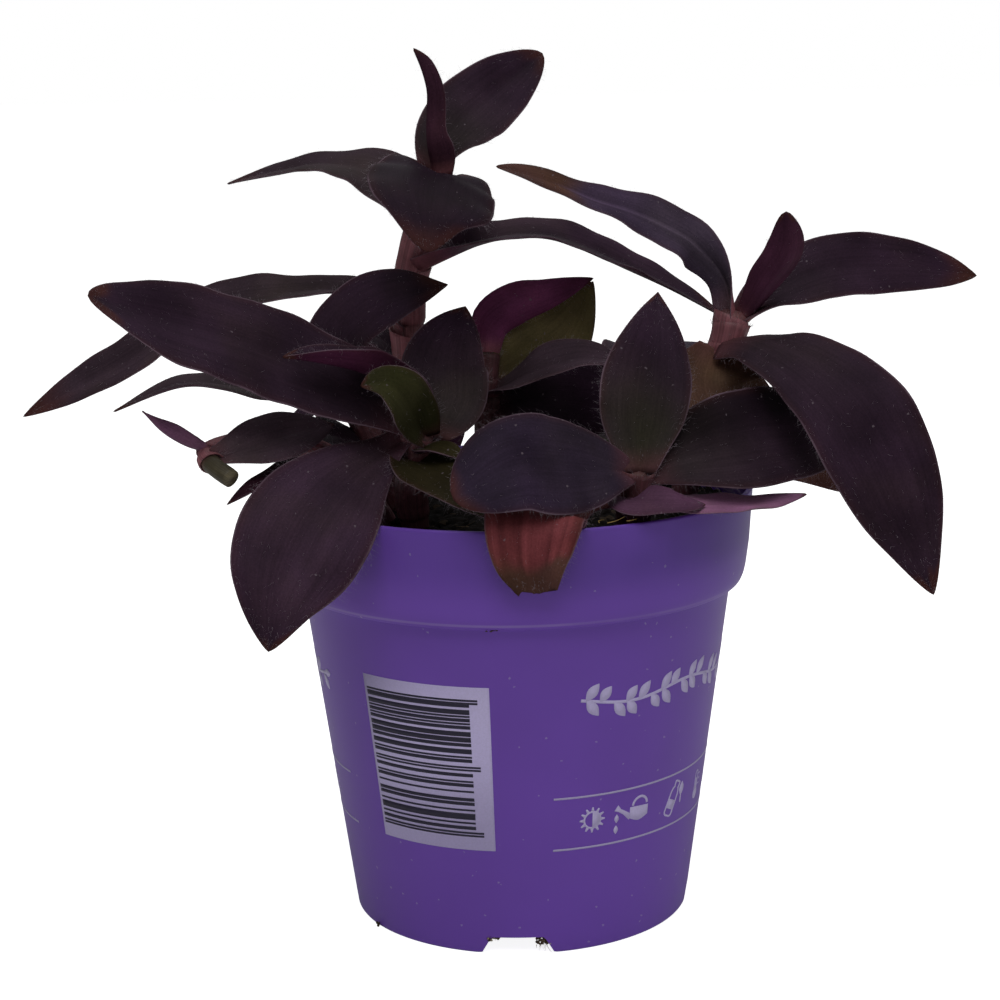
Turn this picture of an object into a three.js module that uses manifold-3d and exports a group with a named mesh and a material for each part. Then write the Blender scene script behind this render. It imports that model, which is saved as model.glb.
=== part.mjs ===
// A purple heart plant in its nursery pot: a thin pot, the soil that fills it and eleven leafy stems.
// Millimetres, +Z up. The origin is on the ground under the middle of the pot, and the front is -Y.
import * as THREE from "three";
import { mergeVertices } from "three/addons/utils/BufferGeometryUtils.js";
import Module from "manifold-3d";

const wasm = await Module();
wasm.setup();

// Pot
const POT_HEIGHT = 95.5;
const RIM_RADIUS = 52.5;
const RIM_EDGE = 1.3;
const RIM_ROUND = 0.4;
const WALL = 1.1;
const FOOT_RADIUS = 37.5;
const FOOT_ROUND = 0.8;
const FOOT_WIDTH = 3;
const BODY_TOP = 74.4;
const BODY_TOP_RADIUS = 47.6;
const COLLAR_STEP = [[49.4, 74.5], [50, 75], [50.6, 76.4]];
const COLLAR_LOWER = [51, 78.3];
const WALL_STEP_BOTTOM = 75.4;
const WALL_STEP_TOP = 76.4;
const WALL_STEP_RADIUS = 49.4;
const COLLAR_MIDDLE = 83.5;
const COLLAR_MIDDLE_RADIUS = 51.7;
const FLOOR_RISE = 4;
const FLOOR_THICKNESS = 1.2;
const CENTRE_PAD_RADIUS = 14;
const PAD_STEP = 1;
const POT_SIDES = 48;

// Notches in the foot, and the drain holes on each side of every notch
const NOTCH_COUNT = 4;
const NOTCH_TURN = -2;
const NOTCH_TOP_WIDTH = 12;
const NOTCH_BOTTOM_WIDTH = 15.4;
const NOTCH_ROUND = 0.6;
const NOTCH_FLARE = 1.3;
const NOTCH_FLARE_RISE = 0.3;
const DRAIN_CIRCLE = 30.5;
const DRAIN_RADIUS = 2.2;
const DRAIN_ANGLE = 11;
const DRAIN_SIDES = 12;

// Soil
const GAP = 0.3;
const SIDE_GAP = 0.4;
const PAD_GAP = 0.5;
const SOIL_EDGE_HEIGHT = 89;
const SOIL_MIDDLE_HEIGHT = 91;
const SOIL_RINGS = 5;
const SOIL_SIDES = 36;
const ROOT_TUFT_RADIUS = 1.5;
const ROOT_TUFT_END = 0.8;

// Leaves and stems
const BLADE_THICKNESS = 0.9;
const ROW_LENGTH = 6;
const FEWEST_ROWS = 5;
const MOST_ROWS = 11;
const MOST_OFFSET = 1.1;
const HALF_COLUMNS = 2;
const STEM_SIDES = 8;
const STEM_STEP = 5;
const ROOT_DEPTH = 10;

// A leaf's line is its midrib from the stem to the tip. Its faces are the way its upper side looks at each
// end, fold is the angle in degrees that each half stands up by at the base and further out, and curl bends
// the halves back down. The blade's full widths are measured at even places from the stem to the tip, with
// blunt making the tip rounder and lop moving that share of the width from the right half to the left.
// A plainer leaf has one width: widest is where along the line it is reached, base is the share of it at
// the stem, and taper holds the two powers that shape the way to the tip.
const SHOOTS = {
  tall_shoot: {
    stem: [[-20.5, 6, 91], [-22.5, 8, 113.5], [-23, 8, 130], [-21.5, 4, 144.5], [-15.5, 2, 164.5]],
    radii: [3, 3.3, 3.6, 3.4, 2.2],
    leaves: [
      {
        line: [[-16, 2, 161], [-15.5, -8, 164], [-16, -22, 162], [-16.5, -33, 157], [-17, -38, 150]],
        widths: [13, 21, 25.5, 27.5, 27.5, 24.5, 14, 0], blunt: 1.4, faces: [[0.3, 0, 1], [0.15, -1, 0.2]],
        fold: [55, 4], curl: 20,
      },
      {
        line: [
          [-20, 3, 152], [-24.5, 6, 158.5], [-30, 10, 163.5], [-36.5, 14, 165], [-43.5, 18, 165.5],
          [-51.5, 22, 164], [-64.5, 28, 161],
        ],
        widths: [12, 15, 16, 15, 12, 9.5, 8, 6.5, 0], faces: [[0.2, -0.8, 0.8], [0.05, -0.3, 1]],
        fold: [50, 12],
      },
      {
        line: [
          [-20, 2, 143], [-6.5, -1, 149], [4, 1, 150], [15, 4, 147.5], [28.5, 7, 141], [47, 12, 130.5],
        ],
        widths: [10, 12, 13.5, 14.5, 15, 15.5, 14, 11, 0], blunt: 1.6, faces: [[0, -0.3, 1], [0, -0.3, 1]],
        fold: [60, 16],
      },
      {
        line: [
          [-16.5, 3, 163.5], [-13.5, 8, 170], [-10, 12, 174.5], [-5.5, 16, 178.5], [-1, 19, 182],
          [3.5, 21, 185.5], [8, 23, 189],
        ],
        widths: [9, 13, 16, 17.5, 17.5, 16.5, 14, 9.5, 0], blunt: 1.6,
        faces: [[-0.35, -1, 0.2], [0.2, -1, 0.5]], fold: [50, 12],
      },
      {
        line: [
          [-16, 1, 163], [-17, -2, 171], [-17, -3, 177.5], [-17, -4, 181.5], [-18, -4, 185.5],
          [-20, -3, 190.5],
        ],
        widths: [7.5, 10, 10.5, 8.5, 7.5, 7, 6.5, 5, 0], faces: [[1, 0.55, 0.1], [1, 0.5, 0.2]],
        fold: [66, 62], reach: 1,
      },
      {
        line: [
          [-24, 6, 128.5], [-31, 10, 135.5], [-45, 14, 137.5], [-67, 18, 134], [-89.5, 20, 121],
          [-113, 22, 109],
        ],
        widths: [6, 9, 11, 12.5, 13, 12.5, 11, 7.5, 0], faces: [[0.1, -0.25, 1], [0.1, -0.9, 0.6]],
        fold: [60, 16],
      },
      {
        line: [[-23, 8, 121], [-29, 12, 126], [-37, 15, 128]],
        width: 9, faces: [[0, -0.4, 1], [0, -0.4, 1]], fold: [50, 15],
      },
    ],
  },
  right_shoot: {
    stem: [[38, 6, 91], [41.5, 4, 106], [46.5, 0, 124.5], [48.5, 0, 133]],
    radii: [3.2, 3.4, 3.6, 3.5],
    leaves: [
      {
        line: [
          [48.5, 0, 131.5], [46.5, 0, 140], [41, -1, 146.5], [34, -3, 151], [26, -4, 155], [17, -5, 158],
          [7.5, -6, 162], [-3, -8, 165.5],
        ],
        widths: [8.5, 8.5, 10, 11.5, 12, 10, 7, 8, 0], blunt: 1.5,
        faces: [[-0.8, -0.5, 0.3], [0.05, -0.45, 1]], fold: [55, 14],
      },
      {
        line: [[50, 1, 129.5], [58, 4, 136], [70.5, 8, 141], [87, 12, 141], [105, 16, 138]],
        widths: [8, 12, 14.5, 15.5, 15.5, 14, 11.5, 7.5, 0], faces: [[-0.5, -0.8, 0.6], [0, -1, 0.3]],
        fold: [62, 8],
      },
      {
        line: [[50, 0, 129.5], [55, -5, 139], [59, -9, 147], [58.5, -10, 155]],
        widths: [6, 8, 10, 10, 8.5, 0], blunt: 1.7, faces: [[-0.2, 0.9, -0.1], [-0.1, 1, 0]],
        fold: [60, 30], reach: 0.9,
      },
      {
        line: [
          [46, -3, 126.5], [50.5, -9, 127.5], [55.5, -15, 126], [63.5, -20, 121], [70.5, -24, 114.5],
          [76.5, -27, 104], [81.5, -29, 91.5], [87.5, -30, 75.5],
        ],
        widths: [10, 13, 18, 22, 24, 22.5, 18.5, 10.5, 0], faces: [[0.1, -0.6, 1], [-0.35, -1, 0.5]],
        fold: [-30, 6],
      },
      {
        line: [[45, -2, 124.5], [44, -8, 116], [53.5, -7, 106.5], [72.5, -2, 92.5]],
        widths: [12, 21, 21, 14, 7, 0], faces: [[0.1, -0.8, 0.6], [0.2, -0.9, 0.3]], fold: [40, 8],
      },
    ],
  },
  front_shoot: {
    stem: [[24, -32, 91], [24.5, -33, 97], [25, -34, 104]],
    radii: [3, 3.2, 3.2],
    leaves: [
      {
        line: [[25.5, -34, 103.5], [26, -32, 113], [27.5, -28.5, 123], [29, -25, 131], [30.5, -20, 139.5]],
        widths: [8, 12.5, 17, 19, 19, 16.5, 12.5, 7, 0], blunt: 1, faces: [[0, -1, 0.2], [0, -1, 0.1]],
        fold: [40, 10],
      },
      {
        line: [[23, -35, 103.5], [17, -41, 106], [9, -47, 108], [-1, -53, 109], [-12.5, -57, 103]],
        widths: [6, 11.5, 17.5, 21, 22, 21.5, 19.5, 14.5, 0], blunt: 1.8,
        faces: [[0, -0.9, 0.6], [-0.2, -1, 0.5]], fold: [45, 6], curl: 14,
      },
      {
        line: [[25.5, -34, 103.5], [36, -33, 107], [48, -26, 108.5], [61.5, -15, 108], [75, -4, 104.5]],
        widths: [5, 12, 19, 22, 22, 21, 18, 12, 0], blunt: 1.5, faces: [[0, -0.9, 0.5], [0, -1, 0.4]],
        fold: [8, 6],
      },
      {
        line: [
          [23.5, -32.5, 96], [12, -38, 99.5], [5, -47, 100.5], [3, -54, 97.5], [2.5, -56, 90.5],
          [3.5, -55.5, 83.5],
        ],
        widths: [5, 9, 15, 20.5, 20, 16.5, 8.5], faces: [[0, -0.3, 1], [0, -1, 0]], fold: [40, 5],
      },
      {
        line: [[24.5, -34, 98], [30, -40, 98], [38, -38, 97], [51, -30, 96], [61.5, -24, 96.5]],
        widths: [6, 10, 12, 12, 11, 8, 0], faces: [[0, -0.12, 1], [0, -0.12, 1]], fold: [20, 6],
      },
      {
        line: [[23.5, -34, 98], [23.5, -41.5, 99], [31.5, -45, 99.5], [38.5, -41, 98]],
        widths: [7, 9.5, 10, 7, 0], faces: [[0, -0.5, 1], [0, -0.5, 1]], fold: [8, 4],
      },
    ],
  },
  centre_shoot: {
    stem: [[-21.5, -24, 91], [-22, -25, 99], [-20, -27, 112]],
    radii: [3.2, 3.2, 3],
    leaves: [
      {
        line: [
          [-22.5, -26, 111], [-35, -28, 122], [-48, -32, 129], [-61.5, -38, 135], [-72.5, -44, 139],
          [-83, -52, 144],
        ],
        widths: [10, 17.5, 21.5, 24, 25, 25.5, 23, 16, 0], blunt: 1.8, lop: 0.1,
        faces: [[0.2, -0.7, 0.8], [0, -0.7, 0.8]], fold: [55, 6],
      },
      {
        line: [
          [-22, -27.5, 111], [-28, -31.5, 107.5], [-34, -38.5, 104.5], [-40.5, -46, 98.5],
          [-45, -51.5, 91], [-48, -55.5, 83], [-50, -57, 73],
        ],
        widths: [5, 9, 16, 23, 26.5, 26.5, 22.5, 13, 0], faces: [[0.2, -0.6, 0.8], [0.05, -1, 0.25]],
        fold: [45, 5], curl: 12,
      },
      {
        line: [[-18, -26, 110.5], [-15, -23, 118], [-14.5, -17, 125.5], [-10, -9, 136]],
        widths: [11, 15, 18, 19, 18.5, 16.5, 13, 8, 0], blunt: 1.1,
        faces: [[0.1, -1, 0.1], [0.1, -1, 0.3]], fold: [50, 10],
      },
      {
        line: [[-19, -28, 111], [-21, -34, 117], [-23.5, -39, 122], [-27, -42, 124.5], [-31, -43, 124]],
        widths: [7, 10, 11.5, 11.5, 8, 0], faces: [[0.5, -1, 0.2], [0, -1, 0.4]], fold: [50, 20],
      },
      {
        line: [[-21.5, -27, 105.5], [-17, -36, 105.5], [-12.5, -43, 103.5], [-4, -50, 97.5]],
        widths: [12, 15, 16, 14, 10, 6, 0], faces: [[0.2, -0.7, 0.8], [0.2, -0.9, 0.5]], fold: [45, 8],
      },
      {
        line: [[-21.5, -28, 107.5], [-16, -34, 109.5], [-10, -38, 107.5]],
        width: 7, faces: [[0, -0.2, 1], [0, -0.2, 1]], fold: [40, 15], widest: 0.45,
      },
      {
        line: [
          [-20.5, -27, 111.5], [-25, -30, 121.5], [-31, -33, 125.5], [-38.5, -38, 128.5],
          [-46.5, -42, 130],
        ],
        widths: [8, 14, 17, 16, 12, 7.5, 0], faces: [[0.1, 0.1, 1], [0.1, -0.1, 1]], fold: [60, 42],
      },
    ],
  },
  left_shoot: {
    stem: [[-25.5, -6, 91], [-30.5, -6, 104.5], [-35.5, -6, 117]],
    radii: [2.8, 2.8, 2.6],
    leaves: [
      {
        line: [[-35.5, -6, 116], [-38.5, -8, 127.5], [-30, -10, 136.5], [-13.5, -12, 141]],
        width: 16.5, faces: [[-0.3, -1, 0.5], [0, -0.8, 0.8]], fold: [50, 8], widest: 0.5, base: 0.45,
      },
      {
        line: [[-35.5, -7, 115], [-53, -14, 118.5], [-70, -18, 121.5], [-84.5, -22, 116.5]],
        widths: [7, 11, 14, 15, 10, 4.5, 0], faces: [[0, -0.2, 1], [0, -0.2, 1]], fold: [50, 12],
      },
      {
        line: [[-30.5, -7, 104], [-37, -12, 108], [-44, -15, 109], [-51, -17, 107]],
        width: 14, faces: [[0.2, -0.4, 1], [0, -0.4, 1]], fold: [50, 10], widest: 0.45,
      },
    ],
  },
  pruned_shoot: {
    stem: [
      [-28, -18, 91], [-39.5, -22, 106], [-52, -28, 111], [-60, -33, 110.5], [-63, -37, 109],
      [-61, -40.5, 107.5], [-57.5, -43, 105.5],
    ],
    radii: [2.5, 2.5, 2.3, 2, 2, 2, 2.1],
    leaves: [
      {
        line: [[-61.5, -39, 108.5], [-55.5, -37, 110.5], [-46.5, -30, 112.5], [-38, -22, 113]],
        width: 12.5, faces: [[0, -0.8, 0.7], [0, -0.8, 0.7]], fold: [50, 8], widest: 0.45, base: 0.45,
      },
      {
        line: [[-62, -37, 110], [-66, -37, 112], [-71, -36, 114.5], [-76.5, -34, 118.5]],
        width: 4, faces: [[0, 0.8, 0.4], [0, 0.8, 0.4]], fold: [50, 25], base: 0.5, taper: [1, 1.2],
      },
      {
        line: [[-45, -25, 108.5], [-48, -32, 106], [-53, -37.5, 103.5], [-59, -42, 100]],
        width: 4.5, faces: [[0, -0.5, 0.8], [0, -0.5, 0.8]], fold: [40, 15], widest: 0.5,
      },
    ],
  },
  middle_shoot: {
    stem: [[-5.5, 6, 91], [-6, 5, 104.5], [-6, 4, 114.5], [-5.5, 6, 124]],
    radii: [2.6, 2.6, 2.4, 2.2],
    leaves: [
      {
        line: [[-6, 6, 123], [-5, 7, 130], [1, 9, 134], [8, 10, 136], [18.5, 12, 139.5]],
        widths: [7, 9, 10.5, 10, 7.5, 4.5, 0], faces: [[0.2, 1, 0.3], [0.2, 1, 0.2]], fold: [50, 20],
      },
      {
        line: [[-5.5, 6, 118], [3, 11, 121.5], [12, 14.5, 127.5], [18.5, 15, 138.5]],
        widths: [7, 13, 16, 17, 16, 12, 7, 0], faces: [[-0.3, -1, 0.2], [-0.3, -1, 0.2]], fold: [50, 8],
      },
      {
        line: [[-5.5, 3, 114], [3.5, -4, 120], [14.5, -6, 124], [26, -6, 122.5]],
        width: 14, faces: [[0, -0.45, 1], [0, -0.45, 1]], fold: [50, 15], widest: 0.45, base: 0.45,
      },
      {
        line: [[-5, 4, 112], [4, 4, 114], [15, 8, 113], [28, 12, 109]],
        width: 19, faces: [[0, -1, 0.3], [0, -1, 0.3]], fold: [50, 10], widest: 0.5, base: 0.4,
      },
    ],
  },
  back_left_shoot: {
    stem: [[-26, 26, 91], [-30, 30, 101], [-33, 33, 113]],
    radii: [2.8, 3, 2.6],
    leaves: [
      {
        line: [[-32, 32, 110], [-38, 46, 116], [-44, 60, 112], [-48, 72, 98]],
        width: 22, faces: [[-0.3, -0.5, 1], [-0.3, 0.8, 0.6]], fold: [55, 8], widest: 0.45,
      },
      {
        line: [[-31, 31, 107], [-42, 34, 118], [-54, 37, 123], [-66, 38, 120]],
        width: 15, faces: [[0.5, 0.2, 1], [-0.2, 0.3, 1]], fold: [55, 15], widest: 0.45,
      },
      {
        line: [[-33, 33, 111], [-34, 38, 121], [-36, 46, 128], [-38, 53, 129]],
        width: 12, faces: [[0, -1, 0.3], [0, -0.6, 1]], fold: [60, 25], widest: 0.45,
      },
      {
        line: [[-30, 30, 103], [-24, 44, 106], [-19, 58, 101], [-15, 69, 88]],
        width: 17, faces: [[0, -0.3, 1], [0.2, 0.9, 0.5]], fold: [55, 8], widest: 0.45,
      },
      {
        line: [[-29, 28, 102], [-37, 24, 109], [-45, 19, 110], [-52, 14, 105]],
        width: 13, faces: [[0.3, 0, 1], [-0.2, 0, 1]], fold: [55, 12], widest: 0.45,
      },
    ],
  },
  back_right_shoot: {
    stem: [[24, 27, 91], [24, 31, 101], [24, 35, 113]],
    radii: [2.8, 3, 2.6],
    leaves: [
      {
        line: [[24, 34, 109], [31, 47, 116], [37, 61, 113], [41, 75, 100]],
        width: 24, faces: [[0.2, -0.5, 1], [0.2, 0.8, 0.6]], fold: [55, 8], widest: 0.45,
      },
      {
        line: [[25, 34, 110], [38, 37, 119], [54, 39, 118], [69, 40, 107]],
        width: 20, faces: [[-0.4, 0, 1], [0.3, 0.2, 1]], fold: [55, 8], widest: 0.45,
      },
      {
        line: [[24, 34, 112], [29, 38, 118], [33, 43, 122], [36, 49, 122]],
        width: 11, faces: [[0, -1, 0.3], [0, -0.6, 1]], fold: [60, 25], widest: 0.45,
      },
      {
        line: [[24, 32, 102], [35, 45, 104], [47, 56, 98], [57, 64, 84]],
        width: 17, faces: [[-0.2, -0.2, 1], [0.5, 0.6, 0.6]], fold: [55, 8], widest: 0.45,
      },
      {
        line: [[24, 31, 103], [36, 26, 109], [47, 20, 106], [56, 16, 98]],
        width: 14, faces: [[-0.3, 0, 1], [0.3, 0, 1]], fold: [55, 12], widest: 0.45,
      },
    ],
  },
  back_shoot: {
    stem: [[6, 38, 91], [7, 42, 99], [8, 45, 108]],
    radii: [2.6, 2.8, 2.4],
    leaves: [
      {
        line: [[8, 44, 105], [8, 58, 111], [6, 72, 106], [4, 84, 92]],
        width: 23, faces: [[0, -0.4, 1], [0, 0.9, 0.5]], fold: [55, 8], widest: 0.45,
      },
      {
        line: [[8, 45, 106], [6, 49, 115], [2, 53, 121], [-3, 57, 122]],
        width: 12, faces: [[0.3, -1, 0.3], [0, -0.7, 1]], fold: [60, 25], widest: 0.45,
      },
      {
        line: [[7, 43, 99], [17, 54, 103], [25, 62, 99], [31, 69, 89]],
        width: 13, faces: [[-0.2, -0.2, 1], [0.3, 0.6, 0.6]], fold: [55, 10], widest: 0.45,
      },
    ],
  },
  young_shoot: {
    stem: [[10, 20, 91], [11, 21, 101]],
    radii: [2, 1.8],
    leaves: [
      {
        line: [[11, 21, 98], [19, 20, 102], [28, 17, 101], [35, 13, 95]],
        width: 12, faces: [[-0.3, 0, 1], [0.2, 0, 1]], fold: [55, 12], widest: 0.45,
      },
      {
        line: [[10, 21, 96], [1, 26, 100], [-8, 29, 99], [-15, 30, 94]],
        width: 12, faces: [[0.3, 0, 1], [-0.2, 0, 1]], fold: [55, 12], widest: 0.45,
      },
      {
        line: [[11, 20, 98], [14, 10, 103], [18, 0, 102], [21, -9, 97]],
        width: 11, faces: [[0, 0.3, 1], [0, -0.3, 1]], fold: [55, 12], widest: 0.45,
      },
      {
        line: [[11, 22, 98], [14, 31, 104], [16, 39, 103], [18, 46, 98]],
        width: 9, faces: [[0, -0.3, 1], [0, 0.3, 1]], fold: [55, 12], widest: 0.45,
      },
    ],
  },
};

// Colours of the bare materials
const LOOKS = {
  pot: { color: 0x5a2fa0, roughness: 0.45, metalness: 0 },
  soil: { color: 0x3a2c22, roughness: 1, metalness: 0 },
  shoot: { color: 0x3d2738, roughness: 0.6, metalness: 0 },
};

const vector = (point) => new THREE.Vector3(...point);
const radians = THREE.MathUtils.degToRad;

// A closed geometry as a manifold-3d solid, with shared vertices merged and flat triangles dropped
function toSolid(geometry) {
  const bare = new THREE.BufferGeometry();
  bare.setAttribute("position", geometry.getAttribute("position"));
  bare.setIndex(geometry.index);
  const merged = mergeVertices(bare, 1e-4);
  const index = merged.index.array;
  const kept = [];
  for (let i = 0; i < index.length; i += 3) {
    const [a, b, c] = index.slice(i, i + 3);
    if (a !== b && b !== c && a !== c) kept.push(a, b, c);
  }
  const vertProperties = new Float32Array(merged.getAttribute("position").array);
  return new wasm.Manifold(new wasm.Mesh({ numProp: 3, vertProperties, triVerts: new Uint32Array(kept) }));
}

// The solid's triangles as a named mesh
function toMesh(name, solid, look) {
  const { vertProperties, triVerts, numProp, numVert } = solid.getMesh();
  const points = new Float32Array(numVert * 3);
  for (let i = 0; i < numVert; i++) {
    points.set(vertProperties.subarray(i * numProp, i * numProp + 3), i * 3);
  }
  const geometry = new THREE.BufferGeometry();
  geometry.setAttribute("position", new THREE.BufferAttribute(points, 3));
  geometry.setIndex(new THREE.BufferAttribute(triVerts, 1));
  geometry.computeVertexNormals();
  const mesh = new THREE.Mesh(geometry, new THREE.MeshStandardMaterial(look));
  mesh.name = name;
  return mesh;
}

function geometryOf(points, triangles) {
  const geometry = new THREE.BufferGeometry();
  geometry.setAttribute("position", new THREE.Float32BufferAttribute(points.flatMap((p) => p.toArray()), 3));
  geometry.setIndex(triangles);
  return geometry;
}

// The profile's [radius, height] points turned about the upright axis
function turned(profile, sides) {
  const points = profile.map(([radius, height]) => new THREE.Vector2(radius, height));
  const geometry = new THREE.LatheGeometry(points, sides);
  geometry.rotateX(Math.PI / 2);
  return toSolid(geometry);
}

// A round rod between two heights, off the axis by the given distance and angle
function rod(radius, bottom, top, distance, angle, sides) {
  const geometry = new THREE.CylinderGeometry(radius, radius, top - bottom, sides);
  geometry.rotateX(Math.PI / 2);
  geometry.translate(0, -distance, (top + bottom) / 2);
  geometry.rotateZ(angle);
  return toSolid(geometry);
}

// The pot's wall inside radius at a height, which the soil follows: the cone, a step and the collar
function wallRadius(height) {
  const slope = (BODY_TOP_RADIUS - FOOT_RADIUS) / BODY_TOP;
  if (height <= WALL_STEP_BOTTOM) return FOOT_RADIUS + slope * height - WALL;
  const share = (height - WALL_STEP_TOP) / (COLLAR_MIDDLE - WALL_STEP_TOP);
  const rise = COLLAR_MIDDLE_RADIUS - WALL - WALL_STEP_RADIUS;
  return WALL_STEP_RADIUS + rise * THREE.MathUtils.clamp(share, 0, 1);
}

function notchAngles() {
  const angles = [];
  for (let i = 0; i < NOTCH_COUNT; i++) angles.push(radians(NOTCH_TURN) + (2 * Math.PI * i) / NOTCH_COUNT);
  return angles;
}

function drainAngles() {
  const angles = [];
  for (const notch of notchAngles()) {
    angles.push(notch - radians(DRAIN_ANGLE), notch + radians(DRAIN_ANGLE));
  }
  return angles;
}

// A wedge through the foot ring, wider at the ground
function notchCutter(angle) {
  const outline = new THREE.Shape([
    new THREE.Vector2(-NOTCH_BOTTOM_WIDTH / 2 - NOTCH_FLARE, -1),
    new THREE.Vector2(NOTCH_BOTTOM_WIDTH / 2 + NOTCH_FLARE, -1),
    new THREE.Vector2(NOTCH_BOTTOM_WIDTH / 2 + NOTCH_FLARE, 0),
    new THREE.Vector2(NOTCH_BOTTOM_WIDTH / 2, NOTCH_FLARE_RISE),
    new THREE.Vector2(NOTCH_TOP_WIDTH / 2, FLOOR_RISE - NOTCH_ROUND),
    new THREE.Vector2(NOTCH_TOP_WIDTH / 2 - NOTCH_ROUND, FLOOR_RISE),
    new THREE.Vector2(-NOTCH_TOP_WIDTH / 2 + NOTCH_ROUND, FLOOR_RISE),
    new THREE.Vector2(-NOTCH_TOP_WIDTH / 2, FLOOR_RISE - NOTCH_ROUND),
    new THREE.Vector2(-NOTCH_BOTTOM_WIDTH / 2, NOTCH_FLARE_RISE),
    new THREE.Vector2(-NOTCH_BOTTOM_WIDTH / 2 - NOTCH_FLARE, 0),
  ]);
  const reach = 3 * FOOT_WIDTH;
  const geometry = new THREE.ExtrudeGeometry(outline, { depth: reach, bevelEnabled: false });
  geometry.rotateX(Math.PI / 2);
  geometry.translate(0, -(FOOT_RADIUS - FOOT_WIDTH - 1), 0);
  geometry.rotateZ(angle);
  return toSolid(geometry);
}

function pot() {
  const inside = (height) => [wallRadius(height), height];
  let solid = turned(
    [
      [0, 0],
      [CENTRE_PAD_RADIUS, 0],
      [CENTRE_PAD_RADIUS + PAD_STEP, FLOOR_RISE],
      [FOOT_RADIUS - FOOT_WIDTH, FLOOR_RISE],
      [FOOT_RADIUS - FOOT_WIDTH, 0],
      [FOOT_RADIUS - FOOT_ROUND, 0],
      [FOOT_RADIUS, FOOT_ROUND],
      [BODY_TOP_RADIUS, BODY_TOP],
      ...COLLAR_STEP,
      COLLAR_LOWER,
      [COLLAR_MIDDLE_RADIUS, COLLAR_MIDDLE],
      [RIM_RADIUS, POT_HEIGHT - RIM_ROUND],
      [RIM_RADIUS - RIM_ROUND, POT_HEIGHT],
      [RIM_RADIUS - RIM_EDGE + RIM_ROUND, POT_HEIGHT],
      [RIM_RADIUS - RIM_EDGE, POT_HEIGHT - RIM_ROUND],
      inside(COLLAR_MIDDLE),
      [WALL_STEP_RADIUS, WALL_STEP_TOP],
      inside(WALL_STEP_BOTTOM),
      inside(FLOOR_RISE + FLOOR_THICKNESS),
      [CENTRE_PAD_RADIUS, FLOOR_RISE + FLOOR_THICKNESS],
      [CENTRE_PAD_RADIUS - PAD_STEP, FLOOR_THICKNESS],
      [0, FLOOR_THICKNESS],
    ],
    POT_SIDES,
  );
  for (const angle of notchAngles()) solid = solid.subtract(notchCutter(angle));
  for (const angle of drainAngles()) {
    solid = solid.subtract(rod(DRAIN_RADIUS, -1, 6, DRAIN_CIRCLE, angle, DRAIN_SIDES));
  }
  return solid;
}

// A round tube of changing radius along a curve through the points, closed at both ends
function tube(line, radii, extra = 0) {
  const curve = new THREE.CatmullRomCurve3(line.map(vector), false, "catmullrom", 0.5);
  const steps = Math.ceil(curve.getLength() / STEM_STEP);
  const centres = curve.getSpacedPoints(steps);
  const frames = curve.computeFrenetFrames(steps, false);
  const points = [];
  const triangles = [];
  centres.forEach((centre, i) => {
    const place = (i / steps) * (radii.length - 1);
    const before = Math.min(Math.floor(place), radii.length - 2);
    const radius = THREE.MathUtils.lerp(radii[before], radii[before + 1], place - before) + extra;
    for (let k = 0; k < STEM_SIDES; k++) {
      const turn = (2 * Math.PI * k) / STEM_SIDES;
      points.push(
        centre
          .clone()
          .addScaledVector(frames.normals[i], radius * Math.cos(turn))
          .addScaledVector(frames.binormals[i], radius * Math.sin(turn)),
      );
    }
  });
  for (let i = 0; i < steps; i++) {
    for (let k = 0; k < STEM_SIDES; k++) {
      const next = (k + 1) % STEM_SIDES;
      const [a, b] = [i * STEM_SIDES + k, i * STEM_SIDES + next];
      triangles.push(a, b, b + STEM_SIDES, a, b + STEM_SIDES, a + STEM_SIDES);
    }
  }
  const last = steps * STEM_SIDES;
  for (let k = 1; k < STEM_SIDES - 1; k++) {
    triangles.push(0, k + 1, k, last, last + k, last + k + 1);
  }
  return toSolid(geometryOf(points, triangles));
}

// The full width at a place, smooth through widths that are measured at even places
function spread(widths, blunt, place) {
  const powers = widths.map((width) => width ** blunt);
  powers.unshift(2 * powers[0] - powers[1]);
  powers.push(2 * powers.at(-1) - powers.at(-2));
  const steps = place * (widths.length - 1);
  const before = Math.min(Math.floor(steps), widths.length - 2);
  const t = steps - before;
  const [a, b, c, d] = powers.slice(before, before + 4);
  const smooth = b + (t * (c - a + t * (2 * a - 5 * b + 4 * c - d + t * (3 * b - a - 3 * c + d)))) / 2;
  return Math.max(smooth, 0) ** (1 / blunt);
}

// The share of the full width at a place from 0 at the stem to 1 at the tip
function widthShare(place, widest, base, [first, second]) {
  if (place < widest) return base + (1 - base) * Math.sin((Math.PI / 2) * (place / widest)) ** 1.5;
  const rest = (place - widest) / (1 - widest);
  return Math.max(Math.cos((Math.PI / 2) * rest ** first), 0) ** second;
}

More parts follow.
